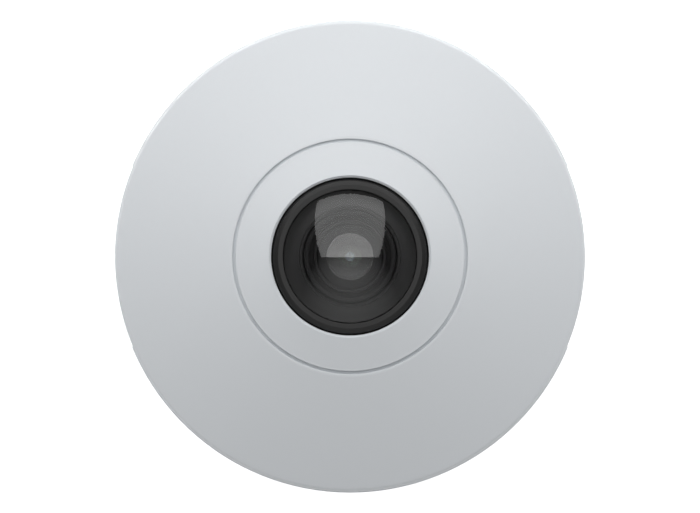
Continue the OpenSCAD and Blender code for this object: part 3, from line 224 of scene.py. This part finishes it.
copper = nodes.new("ShaderNodeMix")
copper.data_type = "RGBA"
copper.inputs["B"].default_value = (0.022, 0.15, 0.068, 1)
links.new(routed.outputs[0], copper.inputs["Factor"])
links.new(nodes["Tint"].outputs["Result"], copper.inputs["A"])
links.new(copper.outputs["Result"], nodes["Principled BSDF"].inputs["Base Color"])
for node in ("main_board", "sensor_board"):
    dress(eased(node), mask, "circuit_board", "camera", node)


# Screw lands: rings of plated copper on the main board, left bare of the green mask.
# The head of each board screw stands on one of them.
BOARD_TOP = 10.8
SCREW_CIRCLE = 47.48
SCREW_ANGLES = (35, 145, 255, 325)


def set_out(first, places):
    """Copies of a small part, each with its own mesh, at the places (x, y, turn) given."""
    copies = []
    for x, y, turn in places:
        copy = first.copy()
        copy.data = first.data.copy()
        bpy.context.collection.objects.link(copy)
        alone(copy)
        bpy.ops.transform.rotate(value=-math.radians(turn), orient_axis="Z",
                                 center_override=(0, 0, 0))
        bpy.ops.transform.translate(value=(x * MM, y * MM, 0))
        bpy.ops.object.transform_apply(location=True, rotation=True, scale=True)
        copies.append(copy)
    alone(first)
    bpy.ops.object.delete()
    return copies


def on_circle(radius, angles):
    """Places (x, y, turn) on a circle, for parts that aren't turned themselves."""
    turns = [math.radians(angle) for angle in angles]
    return [(radius * math.cos(turn), radius * math.sin(turn), 0) for turn in turns]


plated = finish("plated_copper", (0.62, 0.6, 0.55), 0.3, 0.2, 0.002, metallic=1.0)
LAND_TOP = BOARD_TOP + 0.04
land_section = [(2.9, BOARD_TOP), (3.5, BOARD_TOP), (3.47, LAND_TOP), (2.93, LAND_TOP)]
lands = set_out(turned("screw_land", land_section, 48), on_circle(SCREW_CIRCLE, SCREW_ANGLES))
for land, angle in zip(lands, SCREW_ANGLES):
    land.name = land.data.name = "screw_land_%d" % angle
    dress(land, plated, "gold_contact", "camera")


# Chip resistors and ceramic capacitors: fired bodies with tinned ends, soldered flat.
# They stand in short rows beside the parts that they serve.
CHIP_LENGTH, CHIP_WIDTH = 1.6, 0.8
TIN_EDGE = 0.48
solder = finish("tin_solder", (0.7, 0.7, 0.71), 0.25, 0.2, 0.004, drift=0.08, metallic=1.0)
resistor_black = finish("resistor_glaze", (0.025, 0.025, 0.03), 0.3, 0.2, 0.002, drift=0.2)
ceramic = finish("brown_ceramic", (0.36, 0.22, 0.11), 0.45, 0.15, 0.004, drift=0.15)


def row(start, step, count, turn):
    """Places in a straight row: the first, the step to the next, how many, and their turn."""
    return [(start[0] + step[0] * i, start[1] + step[1] * i, turn) for i in range(count)]


def joined(piece, parts):
    """Join small parts into the piece that they belong to."""
    alone(piece)
    for part in parts:
        part.select_set(True)
    bpy.ops.object.join()


def chips(name, body, height, places):
    """One small chip with tinned ends, and a copy of it at each place, joined into a piece."""
    bpy.ops.object.select_all(action="DESELECT")
    bpy.ops.mesh.primitive_cube_add(size=MM, location=(0, 0, (BOARD_TOP + height / 2) * MM))
    first = bpy.context.object
    bpy.ops.transform.resize(value=(CHIP_LENGTH, CHIP_WIDTH, height))
    bpy.ops.object.mode_set(mode="EDIT")
    bpy.ops.mesh.select_all(action="SELECT")
    bpy.ops.mesh.bevel(offset=0.07 * MM, segments=2, affect="EDGES")
    for x in (-TIN_EDGE, TIN_EDGE):
        bpy.ops.mesh.select_all(action="SELECT")
        bpy.ops.mesh.bisect(plane_co=(x * MM, 0, 0), plane_no=(1, 0, 0))
    bpy.ops.object.mode_set(mode="OBJECT")
    bpy.ops.object.transform_apply(location=True, rotation=True, scale=True)
    first.data.materials.append(body)
    first.data.materials.append(solder)
    for face in first.data.polygons:
        face.material_index = int(abs(face.center.x) > TIN_EDGE * MM)
    copies = set_out(first, places)
    joined(copies[0], copies[1:])
    copies[0].name = copies[0].data.name = name
    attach(copies[0], "camera")


chips("chip_resistors", resistor_black, 0.45, (
    row((28.0, -34.5), (1.7, 1.5), 4, 42) + row((-4.5, -37.5), (1.8, 0), 6, 90)
    + row((-41.0, 12.0), (1.2, 1.9), 4, 20) + row((29.0, 24.5), (0, 1.8), 2, 0)
    + row((12.0, -38.5), (0, -1.7), 2, 0)
))
chips("chip_capacitors", ceramic, 0.8, (
    row((33.5, -20.0), (-2.0, 0), 2, 90) + row((30.0, 10.5), (0, 4.0), 3, 0)
    + row((-8.5, 38.5), (2.0, 0), 2, 90) + row((-26.5, 22.0), (0, 1.8), 4, 0)
    + [(4.0, -41.5, 0), (-10.0, -39.5, 60), (26.5, -39.5, 0), (-34.5, 10.0, 90)]
))


# Screws: zinc-plated steel pan heads with a cross recess, cold headed and thread rolled.
# One pattern stands for each pair of pieces that they join.
zinc = finish("zinc_plate", (0.6, 0.6, 0.62), 0.28, 0.25, 0.004, drift=0.08, metallic=1.0)
for node in ("board_screws", "carrier_screws", "sensor_screws", "mount_screws", "bezel_screws"):
    dress(eased(node), zinc, "screw_steel", "camera", node)


# Chips: the processor under the board, the memory chips, the network transformer and the
# body of the reset switch. All are moulded in black, with a matt grain, and soldered down.
epoxy = finish("moulded_epoxy", (0.02, 0.02, 0.022), 0.55, 0.2, 0.006, drift=0.15)
for node in ("processor", "memory_chips", "network_transformer", "reset_switch"):
    dress(eased(node), epoxy, "chip", "camera", node)


# Network socket and memory card slot: tinned steel folded round the mouth that takes the
# plug or the card. The socket's eight contacts are springs with a flash of gold.
tinned = finish("tinned_shell", (0.6, 0.6, 0.62), 0.3, 0.5, 0.006, drift=0.08, metallic=1.0,
                stretch=(1, 0.15, 1))
gold = finish("gold_flash", (0.8, 0.58, 0.22), 0.22, 0.2, 0.002, drift=0.06, metallic=1.0)
for node in ("ethernet_jack", "memory_card_slot"):
    dress(eased(node), tinned, "socket_shell", "camera", node)
dress(eased("jack_contacts"), gold, "gold_contact", "camera", "jack_contacts")


# Capacitors and inductors of the power supply: drawn aluminium cans and pressed ferrite.
# They stand on the board's top, soldered by their feet.
can = finish("drawn_can", (0.7, 0.71, 0.73), 0.25, 0.5, 0.003, metallic=1.0, stretch=(1, 1, 0.1))
ferrite = finish("pressed_ferrite", (0.06, 0.06, 0.065), 0.65, 0.3, 0.02, drift=0.2)
dress(eased("capacitors"), can, "capacitor_can", "camera", "capacitors")
dress(eased("inductors"), ferrite, "ferrite", "camera", "inductors")


# Reset button and status light: a small satin plunger moulded in pale plastic, which rides
# in its switch, and a light-emitting diode under a lens of clear epoxy.
button_plastic = finish("button_plastic", (0.75, 0.75, 0.74), 0.45, 0.3, 0.003, drift=0.03)
clear_epoxy = finish("clear_epoxy", (0.8, 0.8, 0.7), 0.15, 0.5, 0.001, drift=0.05)
clear_epoxy.node_tree.nodes["Principled BSDF"].inputs["Transmission Weight"].default_value = 0.3
dress(eased("reset_button"), button_plastic, "button", "button", "reset_button")
dress(eased("status_led"), clear_epoxy, "led", "camera", "status_led")


# Flat cable and its connectors: copper tracks between amber films, which carry the picture
# from the sensor board to the main board. A nylon connector grips each end.
film = finish("amber_film", (0.5, 0.22, 0.05), 0.25, 0.4, 0.001, drift=0.06)
connector_nylon = finish("connector_nylon", (0.75, 0.72, 0.6), 0.5, 0.25, 0.003, drift=0.03)
dress(eased("flex_cable"), film, "flex", "camera", "flex_cable")
dress(eased("flex_connectors"), connector_nylon, "connector", "camera", "flex_connectors")


# Optic carrier, lens mount and the filter switch's housing, lid and shuttle: mouldings in
# matt black plastic, which keep stray light down. The shuttle slides in the housing's track.
matt_black = finish("matt_black_plastic", (0.013, 0.013, 0.014), 0.6, 0.3, 0.008, drift=0.15)
for node in ("optic_carrier", "filter_housing", "filter_lid", "lens_mount"):
    dress(eased(node), matt_black, "black_plastic", "camera", node)
dress(eased("filter_shuttle"), matt_black, "black_plastic", "shuttle", "filter_shuttle")


# Magnet and coil that move the shuttle: a nickel-plated block on the shuttle's edge, and a
# winding of enamelled copper in a pocket of the housing beside it.
nickel = finish("nickel_plate", (0.4, 0.4, 0.42), 0.25, 0.3, 0.002, metallic=1.0)
winding = finish("copper_winding", (0.6, 0.26, 0.1), 0.35, 0.3, 0.03, metallic=1.0,
                 stretch=(8, 0.1, 0.1))
dress(eased("shuttle_magnet"), nickel, "magnet", "shuttle", "shuttle_magnet")
dress(eased("drive_coil"), winding, "coil_copper", "camera", "drive_coil")


# Image sensor: a silicon chip under a cemented glass lid, with a faint blue sheen.
# It is soldered to the middle of the sensor board.
silicon = finish("sensor_glass", (0.06, 0.07, 0.12), 0.12, 0.3, 0.0005, drift=0.3)
dress(eased("image_sensor"), silicon, "sensor", "camera", "image_sensor")


# Filters: a clear plate and one that cuts infrared, each in its seat on the shuttle. They are
# polished and coated, so they are clear and lay a thin tinted reflection over the view.
POLISH = 0.03


def coated_glass(name, alpha, tint):
    """A polished face that lets the view through and reflects a little, in its coating's tint."""
    material = finish(name, tint, POLISH, 3, 0, drift=0.01, metallic=1.0)
    nodes = material.node_tree.nodes
    nodes["Principled BSDF"].inputs["Alpha"].default_value = alpha
    nodes["Map Range"].inputs["To Min"].default_value = POLISH - 0.01
    nodes["Map Range"].inputs["To Max"].default_value = POLISH + 0.01
    return material


clear_filter = coated_glass("clear_filter_glass", 0.05, (0.6, 0.63, 0.62))
infrared_cut = coated_glass("infrared_cut_glass", 0.012, (0.42, 0.72, 0.5))
dress(eased("clear_glass"), clear_filter, "lens_glass", "shuttle", "clear_glass")
dress(eased("ir_cut_glass"), infrared_cut, "ir_cut_glass", "shuttle", "ir_cut_glass")


# Lens barrel, lock ring, rear retainer and spacer: turned aluminium, black anodised. The
# barrel's stem is threaded for focusing, and ridges round its head break up reflections.
LENS_FRONT = 42.885
STEM, THREAD_ROOT, PITCH, THREAD_TURNS = 6.0, 5.72, 0.5, 14
STEM_BORE, HEAD_BORE, STOP = 3.4, 10.5, 1.5
GROOVE_FLOOR = LENS_FRONT - 5.6
HEAD_SEAT, ELEMENT_TOP, ELEMENT_SEAT = 38.685, 35.385, 34.385
anodised = finish("black_anodised", (0.0115, 0.0115, 0.012), 0.45, 0.4, 0.002, drift=0.1, shine=0.1)
thread = []
for turn in range(THREAD_TURNS):
    thread += [(STEM, 24.4 + PITCH * turn), (THREAD_ROOT, 24.65 + PITCH * turn)]
barrel_section = (
    [(STEM_BORE, 24.0), (5.7, 24.0)] + thread + [(STEM, 32.7), (STEM, 32.885), (14.3, 34.83)]
    + arc((14.25, 35.05), 0.25, -60, 0, 3) + [(14.5, LENS_FRONT - 3.25)]
    + arc((14.2, LENS_FRONT - 3.2), 0.3, 0, 80, 4) + [(13.2, LENS_FRONT - 2.9)]
    + arc((13.2, LENS_FRONT - 3.0), 0.1, 90, 180, 2) + [(13.1, GROOVE_FLOOR), (11.5, GROOVE_FLOOR)]
    + arc((11.25, LENS_FRONT - 1.8), 0.1, 0, 90, 2) + [(10.75, LENS_FRONT - 1.7)]
    + arc((10.7, LENS_FRONT - 1.9), 0.2, 90, 180, 3) + [(HEAD_BORE, LENS_FRONT - 2.2)]
    + [(HEAD_BORE, HEAD_SEAT), (6.9, HEAD_SEAT), (6.9, ELEMENT_TOP), (3.95, ELEMENT_TOP)]
    + [(3.95, ELEMENT_SEAT), (STEM_BORE, ELEMENT_SEAT), (STEM_BORE, 29.3), (STOP, 29.3)]
    + [(STOP, 28.7), (STEM_BORE, 28.7)]
)
barrel = turned("lens_barrel_turned", barrel_section)
dress(barrel, anodised, "black_anodised", "camera", "lens_barrel")
for node in ("lens_lock_ring", "rear_retainer"):
    dress(eased(node), anodised, "black_anodised", "camera", node)
spacer_section = [
    (3.65, 35.43), (6.7, 35.43), (6.85, 35.58), (6.85, 38.48), (6.7, 38.63), (6.45, 38.63),
    (3.65, 35.8),
]
spacer = turned("lens_spacer_turned", spacer_section, 128)
dress(spacer, anodised, "black_anodised", "camera", "lens_spacer")


# Front retainer: a threaded ring, turned to a shallow cone, with two spanner holes.
# A fine dark gap shows between it and the barrel's inner ridge.
SPANNER_CIRCLE, SPANNER_HOLE = 8.85, 0.5
retainer_section = (
    [(8.1, 38.785), (10.4, 38.785), (10.4, 39.9), (9.95, 40.0), (9.95, 40.95)]
    + arc((9.8, 40.97), 0.15, 0, 75, 3) + [(7.45, 41.74)]
    + arc((7.42, 41.63), 0.12, 75, 180, 3) + [(7.3, 40.185), (8.1, 40.185)]
)
retainer = turned("front_retainer_turned", retainer_section)
bpy.ops.object.select_all(action="DESELECT")
bpy.ops.mesh.primitive_cylinder_add(
    vertices=32, radius=SPANNER_HOLE * MM, depth=1.6 * MM, location=(0, 0, 41.5 * MM))
pins = set_out(bpy.context.object, [(-SPANNER_CIRCLE, 0, 0), (SPANNER_CIRCLE, 0, 0)])
alone(retainer)
for pin in pins:
    hole = retainer.modifiers.new("spanner_hole", "BOOLEAN")
    hole.object = pin
    hole.solver = "EXACT"
    bpy.ops.object.modifier_apply(modifier=hole.name)
alone(pins[0])
pins[1].select_set(True)
bpy.ops.object.delete()
dress(retainer, anodised, "black_anodised", "camera", "front_retainer")


# Front and rear elements: ground and polished glass. The front one is a shallow crown over a
# deep bowl, with a ground edge that seats under the retainer; the rear one shows as depth.
CROWN_SPHERE, BOWL_SPHERE = 30, 6.5
COATED_FROM = LENS_FRONT - 0.95
crown_coat = coated_glass("front_crown_coat", 0.088, (0.62, 0.62, 0.62))
bare_face = coated_glass("inner_glass_face", 0.005, (0.5, 0.55, 0.52))
front_section = (
    [(0, LENS_FRONT)]
    + arc((0, LENS_FRONT - CROWN_SPHERE), CROWN_SPHERE, 90, 90 - 14.28, 12)[1:]
    + [(7.4, 41.86), (7.25, 41.82), (7.25, 40.15), (8.05, 40.15), (8.05, 38.75), (5.34, 38.75)]
    + arc((0, LENS_FRONT - 7.9), BOWL_SPHERE, 35.4, 90, 14)[1:]
)
front = turned("front_element_ground", front_section)
dress(front, crown_coat, "lens_glass", "camera", "front_element")
front.data.materials.append(bare_face)
for face in front.data.polygons:
    if face.center.z < COATED_FROM * MM or face.normal.z < 0.5:
        face.material_index = 1
blue_coat = coated_glass("blue_coated_glass", 0.009, (0.42, 0.5, 0.68))
dress(eased("rear_element"), blue_coat, "lens_glass", "camera", "rear_element")


# Inner element: strongly curved glass with a green anti-reflection coating, held in the
# barrel by the spacer. It shows as the small bright spot at the middle of the lens.
green_coat = coated_glass("green_coated_glass", 0.0065, (0.32, 0.8, 0.5))
green_back = coated_glass("green_coated_back", 0.007, (0.6, 0.88, 0.7))
inner_section = (
    [(0, 37.785)] + arc((0, 33.885), 3.9, 90, 22.62, 24)[1:]
    + [(3.85, ELEMENT_TOP), (3.9, 35.33), (3.9, 34.45), (3.83, ELEMENT_SEAT), (1.8, ELEMENT_SEAT)]
    + arc((0, 38.29), 4.3, -65.25, -90, 10)[1:]
)
inner = turned("inner_element_ground", inner_section, 128)
dress(inner, green_coat, "coated_glass", "camera", "inner_element")
inner.data.materials.append(green_back)
for face in inner.data.polygons:
    if face.center.z < (ELEMENT_SEAT - 0.001) * MM:
        face.material_index = 1


# Lens shroud: a matt black moulded cone, with a ledge round the lens head.
# It fills the view between the lens and the window's edge.
shroud_section = (
    [(14.53, 35.166), (14.53, 35.5), (15.0, 35.65), (15.0, 37.1)]
    + arc((15.06, 37.106), 0.06, 180, 90, 2) + [(15.85, 37.166), (15.95, 37.5)]
    + arc((16.05, 37.47), 0.08, 150, 68, 3) + [(21.62, 35.17), (21.7, 35.08), (21.7, 29.466)]
    + [(20.5, 29.466), (20.5, 34.5), (16.2, 35.966), (16.2, 35.166)]
)
shroud_black = finish("shroud_black", (0.012, 0.012, 0.0125), 0.55, 0.5, 0.004, drift=0.1,
                      shine=0.35)
shroud = turned("lens_shroud_moulded", shroud_section)
dress(shroud, shroud_black, "black_plastic", "camera", "lens_shroud")


# Window gasket and domed window: a clear moulded dome with a flange, on a rubber ring.
# Only its outer face is bare; its inner face is coated so that it hardly reflects.
DOME_CENTRE, DOME_OUTER, DOME_INNER = 14.9845, 32, 30
dress(eased("window_gasket"), rubber, "rubber", "camera", "window_gasket")
window_section = (
    arc((0, DOME_CENTRE), DOME_OUTER, 90, 47.1, 40)
    + [(21.85, 37.2), (23.6, 37.166), (23.7, 37.06), (23.7, 35.66), (23.6, 35.566), (21.82, 35.566)]
    + arc((0, DOME_CENTRE), DOME_INNER, 43.35, 90, 40)[1:]
)
window = turned("dome_window_moulded", window_section)
hard_coat = coated_glass("window_hard_coat", 0.078, (0.62, 0.62, 0.62))
dress(window, hard_coat, "window", "camera", "dome_window")
window.data.materials.append(bare_face)
for face in window.data.polygons:
    from_centre = math.dist(face.center, (0, 0, DOME_CENTRE * MM))
    if abs(from_centre - DOME_OUTER * MM) > 0.3 * MM:
        face.material_index = 1


# Window ring: a satin black ring that clamps the window on its gasket, held by the bezel on
# its foot. It is flat round the window, slopes down outwards, and ends in a round edge.
RING_TOP = 39.366
ring_black = finish("satin_black_ring", (0.0205, 0.0205, 0.0205), 0.3, 0.35, 0.002, drift=0.08,
                    shine=0.25)
ring_section = (
    [(23.85, 34.766), (26.3, 34.766), (26.3, 36.066), (24.6, 36.066), (24.3, 36.2)]
    + arc((23.3, RING_TOP - 1.31), 1.0, 0, 68, 14) + [(22.85, RING_TOP - 0.05)]
    + arc((22.7, RING_TOP - 0.15), 0.15, 68, 90, 2) + [(22.6, RING_TOP), (21.4, RING_TOP)]
    + arc((21.3, RING_TOP - 0.12), 0.12, 90, 150, 2) + [(21.12, 39.1), (21.4, 38.9)]
    + [(21.95, 38.566), (21.95, 37.266), (23.85, 37.266)]
)
ring = turned("window_ring_turned", ring_section, 256)
dress(ring, ring_black, "ring_plastic", "camera", "window_ring")


# Bezel: the inner disc of the face, moulded in the shell's plastic with three bosses, whose
# screws come up through the carrier. It carries the face's cone on inside the fine groove.
CROWN_RADIUS = 690
CROWN_CENTRE = (-165.29, -624.105)
EDGE_ROUND = 0.14
BEZEL_EDGE, BEZEL_UNDER, BEZEL_INNER = 35.98, 27.3, 24.9
BOSS_CIRCLE = 29.3


def crown(r):
    """Height of the face at radius r: a shallow cone with a slight crown, in mm."""
    return CROWN_CENTRE[1] + math.sqrt(CROWN_RADIUS ** 2 - (r - CROWN_CENTRE[0]) ** 2)


def crown_line(start, end, drop, steps):
    """Points along the face from one radius to another, lowered by drop."""
    radii = [start + (end - start) * i / steps for i in range(steps + 1)]
    return [(r, crown(r) - drop) for r in radii]


bezel_section = (
    [(BEZEL_UNDER, 36.266), (BEZEL_INNER, 36.266), (BEZEL_INNER, 37.9)]
    + [(25.1, 38.1), (25.1, 38.25), (25.57, 38.25)]
    + crown_line(25.6, BEZEL_EDGE, 0, 12)
    + arc((BEZEL_EDGE, crown(BEZEL_EDGE) - EDGE_ROUND), EDGE_ROUND, 70, 0, 3)
    + crown_line(BEZEL_EDGE + EDGE_ROUND, 39.6, 1.2, 4) + crown_line(39.6, BEZEL_UNDER, 2.2, 10)
)
bezel = turned("optic_bezel_moulded", bezel_section, 256)
boss_section = [(0.85, 34.766), (2.2, 34.766), (2.3, 34.86), (2.3, 36.4), (0.85, 36.4)]
boss_places = on_circle(BOSS_CIRCLE, (15, 135, 255))
bosses = set_out(turned("bezel_boss", boss_section, 40), boss_places)
joined(bezel, bosses)
dress(bezel, shell, "shell", "camera", "optic_bezel")


# Front cover: the large moulded shell, in the same plastic as the tray, with a small rounded
# edge and eight ribs inside. It snaps over the clips, which catch in its skirt's groove.
SKIRT_INNER, SKIRT_OUTER, GROOVE_BED = 72.2, 74.2, 72.8
COVER_EDGE = 37.26
RIB_COUNT, RIB_RADIUS, RIB_HEIGHT = 8, 69.9, 18.2
RIB_SIZE = (5.2, 1.9, 10)
cover_section = (
    [(SKIRT_INNER, 3.35), (72.35, 3.2), (74.05, 3.2), (SKIRT_OUTER, 3.35)]
    + arc((72.5, 21.815), 1.7, 0, 69.69, 16) + crown_line(73.09, COVER_EDGE, 0, 40)[1:]
    + arc((COVER_EDGE, crown(COVER_EDGE) - EDGE_ROUND), EDGE_ROUND, 110, 180, 3)
    + [(37.12, crown(37.12) - 1)] + crown_line(40.1, SKIRT_INNER, 2, 20)
    + [(SKIRT_INNER, 11.7), (GROOVE_BED, 10.9), (GROOVE_BED, 9.9), (SKIRT_INNER, 9.1)]
)
cover = turned("front_cover_moulded", cover_section, 256)
bpy.ops.object.select_all(action="DESELECT")
bpy.ops.mesh.primitive_cube_add(size=MM, location=(RIB_RADIUS * MM, 0, RIB_HEIGHT * MM))
rib = bpy.context.object
bpy.ops.transform.resize(value=RIB_SIZE)
bpy.ops.object.mode_set(mode="EDIT")
bpy.ops.mesh.bevel(offset=0.3 * MM, segments=2, affect="EDGES")
bpy.ops.object.mode_set(mode="OBJECT")
bpy.ops.object.transform_apply(location=True, rotation=True, scale=True)
ribs = set_out(rib, [(0, 0, 360 / RIB_COUNT * (i + 0.5)) for i in range(RIB_COUNT)])
joined(cover, ribs)
dress(cover, shell, "shell", "cover", "front_cover")


# Floor: white paper that keeps the object's shadow, a hair below its back. It is see-through
# from below, so that the bracket can be looked at from underneath.
bpy.ops.object.select_all(action="DESELECT")
bpy.ops.mesh.primitive_plane_add(size=12, location=(0, 0, -0.2 * MM))
floor = bpy.context.object
floor.name = "floor"


def worked(tree, operation, first, second):
    """The result of one sum, product or other operation on two sockets or numbers."""
    work = tree.nodes.new("ShaderNodeMath")
    work.operation = operation
    for socket, value in zip(work.inputs, (first, second)):
        if isinstance(value, (int, float)):
            socket.default_value = value
        else:
            tree.links.new(value, socket)
    return work.outputs[0]


paper = bpy.data.materials.new("white_paper")
paper.use_nodes = True
tree = paper.node_tree
sheet = tree.nodes["Principled BSDF"]
sheet.inputs["Base Color"].default_value = (0.8, 0.8, 0.8, 1)
sheet.inputs["Roughness"].default_value = 0.9
sheet.inputs["Emission Color"].default_value = (1, 1, 1, 1)

# It glows by 0.85 where the camera sees it, straight or in gloss or glass, and by 0.3 else.
rays = tree.nodes.new("ShaderNodeLightPath").outputs
seen = worked(tree, "MAXIMUM", rays["Is Camera Ray"], rays["Is Glossy Ray"])
seen = worked(tree, "MAXIMUM", seen, rays["Is Transmission Ray"])
glow = worked(tree, "ADD", worked(tree, "MULTIPLY", seen, 0.55), 0.3)
tree.links.new(glow, sheet.inputs["Emission Strength"])
side = tree.nodes.new("ShaderNodeNewGeometry").outputs
clear = tree.nodes.new("ShaderNodeBsdfTransparent")
pane = tree.nodes.new("ShaderNodeMixShader")
see_through = worked(tree, "MAXIMUM", side["Backfacing"], rays["Is Shadow Ray"])
tree.links.new(see_through, pane.inputs["Fac"])
tree.links.new(sheet.outputs["BSDF"], pane.inputs[1])
tree.links.new(clear.outputs["BSDF"], pane.inputs[2])
tree.links.new(pane.outputs["Shader"], tree.nodes["Material Output"].inputs["Surface"])
floor.data.materials.append(paper)


# Room: white walls that the camera sees as plain white. They give little light by
# themselves, more of it low down at the sides, and stand as soft shapes in whatever is glossy.
world = bpy.context.scene.world or bpy.data.worlds.new("studio")
bpy.context.scene.world = world
world.use_nodes = True
tree = world.node_tree
room = tree.nodes["Background"]
room.inputs["Color"].default_value = (1, 1, 1, 1)
rays = tree.nodes.new("ShaderNodeLightPath").outputs
place = tree.nodes.new("ShaderNodeTexCoord")
direction = tree.nodes.new("ShaderNodeSeparateXYZ")
tree.links.new(place.outputs["Generated"], direction.inputs["Vector"])


def ramp(source, start, end, low, high):
    """A straight ramp from one value to another, held at both ends."""
    step = tree.nodes.new("ShaderNodeMapRange")
    step.inputs["From Min"].default_value = start
    step.inputs["From Max"].default_value = end
    step.inputs["To Min"].default_value = low
    step.inputs["To Max"].default_value = high
    tree.links.new(source, step.inputs["Value"])
    return step.outputs["Result"]


def plus(first, second):
    """The sum of two values."""
    return worked(tree, "ADD", first, second)


def times(first, second):
    """The product of two values."""
    return worked(tree, "MULTIPLY", first, second)


height, across, up = (direction.outputs[axis] for axis in "ZXY")
above = ramp(height, -0.001, 0.001, 0, 1)
sides = times(across, across)
corners = times(worked(tree, "ABSOLUTE", across, 0), worked(tree, "MAXIMUM", up, 0))

# What matt surfaces get: a little from the picture's bottom side, and a low band of light
# that is strongest at the two sides and the two upper corners.
band_ends = plus(plus(times(sides, 1.3), times(corners, 0.7)), 0.03)
low_band = times(ramp(height, 0, 0.6, 1, 0), band_ends)
soft_light = times(plus(ramp(up, -1, 0, 0.3, 0.02), low_band), above)

# What glossy surfaces mirror: a round glow opposite the softbox, a low wall all round, and
# a bright band at its foot that is strongest at the same sides and corners.
off_y = plus(up, 0.5)
mirrored_glow = plus(ramp(plus(times(off_y, off_y), sides), 0.02, 0.57, 0.76, 0), 0.03)
wall = times(ramp(height, 0.12, 0.5, 0.3, 0), ramp(up, -1, 0.2, 1.7, 1))
foot_ends = plus(plus(times(sides, 8), times(corners, 90)), 0.2)
wall_foot = times(ramp(height, 0, 0.14, 1, 0), foot_ends)

gloss_part = times(rays["Is Glossy Ray"], plus(mirrored_glow, plus(wall, wall_foot)))
matt_part = times(worked(tree, "SUBTRACT", 1, rays["Is Glossy Ray"]), soft_light)
unseen = times(plus(gloss_part, matt_part), worked(tree, "SUBTRACT", 1, rays["Is Camera Ray"]))
tree.links.new(plus(unseen, rays["Is Camera Ray"]), room.inputs["Strength"])


# Softboxes: a large square one above the top of the picture, whose reflection lies in the
# window, and a weak one below for looks at the underside. Both glow evenly all over.
def softbox(name, centre, tilt, size, radiance):
    """A rectangular lamp facing the object, with the same brightness all over."""
    lamp = bpy.data.lights.new(name, "AREA")
    lamp.shape = "RECTANGLE"
    lamp.size, lamp.size_y = size
    lamp.energy = radiance * math.pi * size[0] * size[1]
    stand = bpy.data.objects.new(name, lamp)
    bpy.context.collection.objects.link(stand)
    stand.location = centre
    stand.rotation_euler = (math.radians(tilt), 0, 0)
    stand.visible_camera = False


softbox("key_softbox", (0, 0.7128, 0.865), -33.45, (1.713, 1.749), 1.83)
softbox("under_softbox", (0, 0, -1.2), 180, (0.8, 0.8), 2.2)


# Camera: straight above the lens, without perspective, as in the product picture.
# A ray passes many coated faces on its way in and out of the lens, so 32 may be clear.
PICTURE_WIDTH = 700
PIXEL = 0.3155 * MM
eye = bpy.data.cameras.new("camera")
eye.type = "ORTHO"
eye.ortho_scale = PICTURE_WIDTH * PIXEL
eye.clip_end = 20
stand = bpy.data.objects.new("camera", eye)
bpy.context.collection.objects.link(stand)
stand.location = (0, 0.05 * PIXEL, 3)
bpy.context.scene.camera = stand
bpy.context.scene.view_settings.view_transform = "Standard"
bpy.context.scene.cycles.transparent_max_bounces = 32
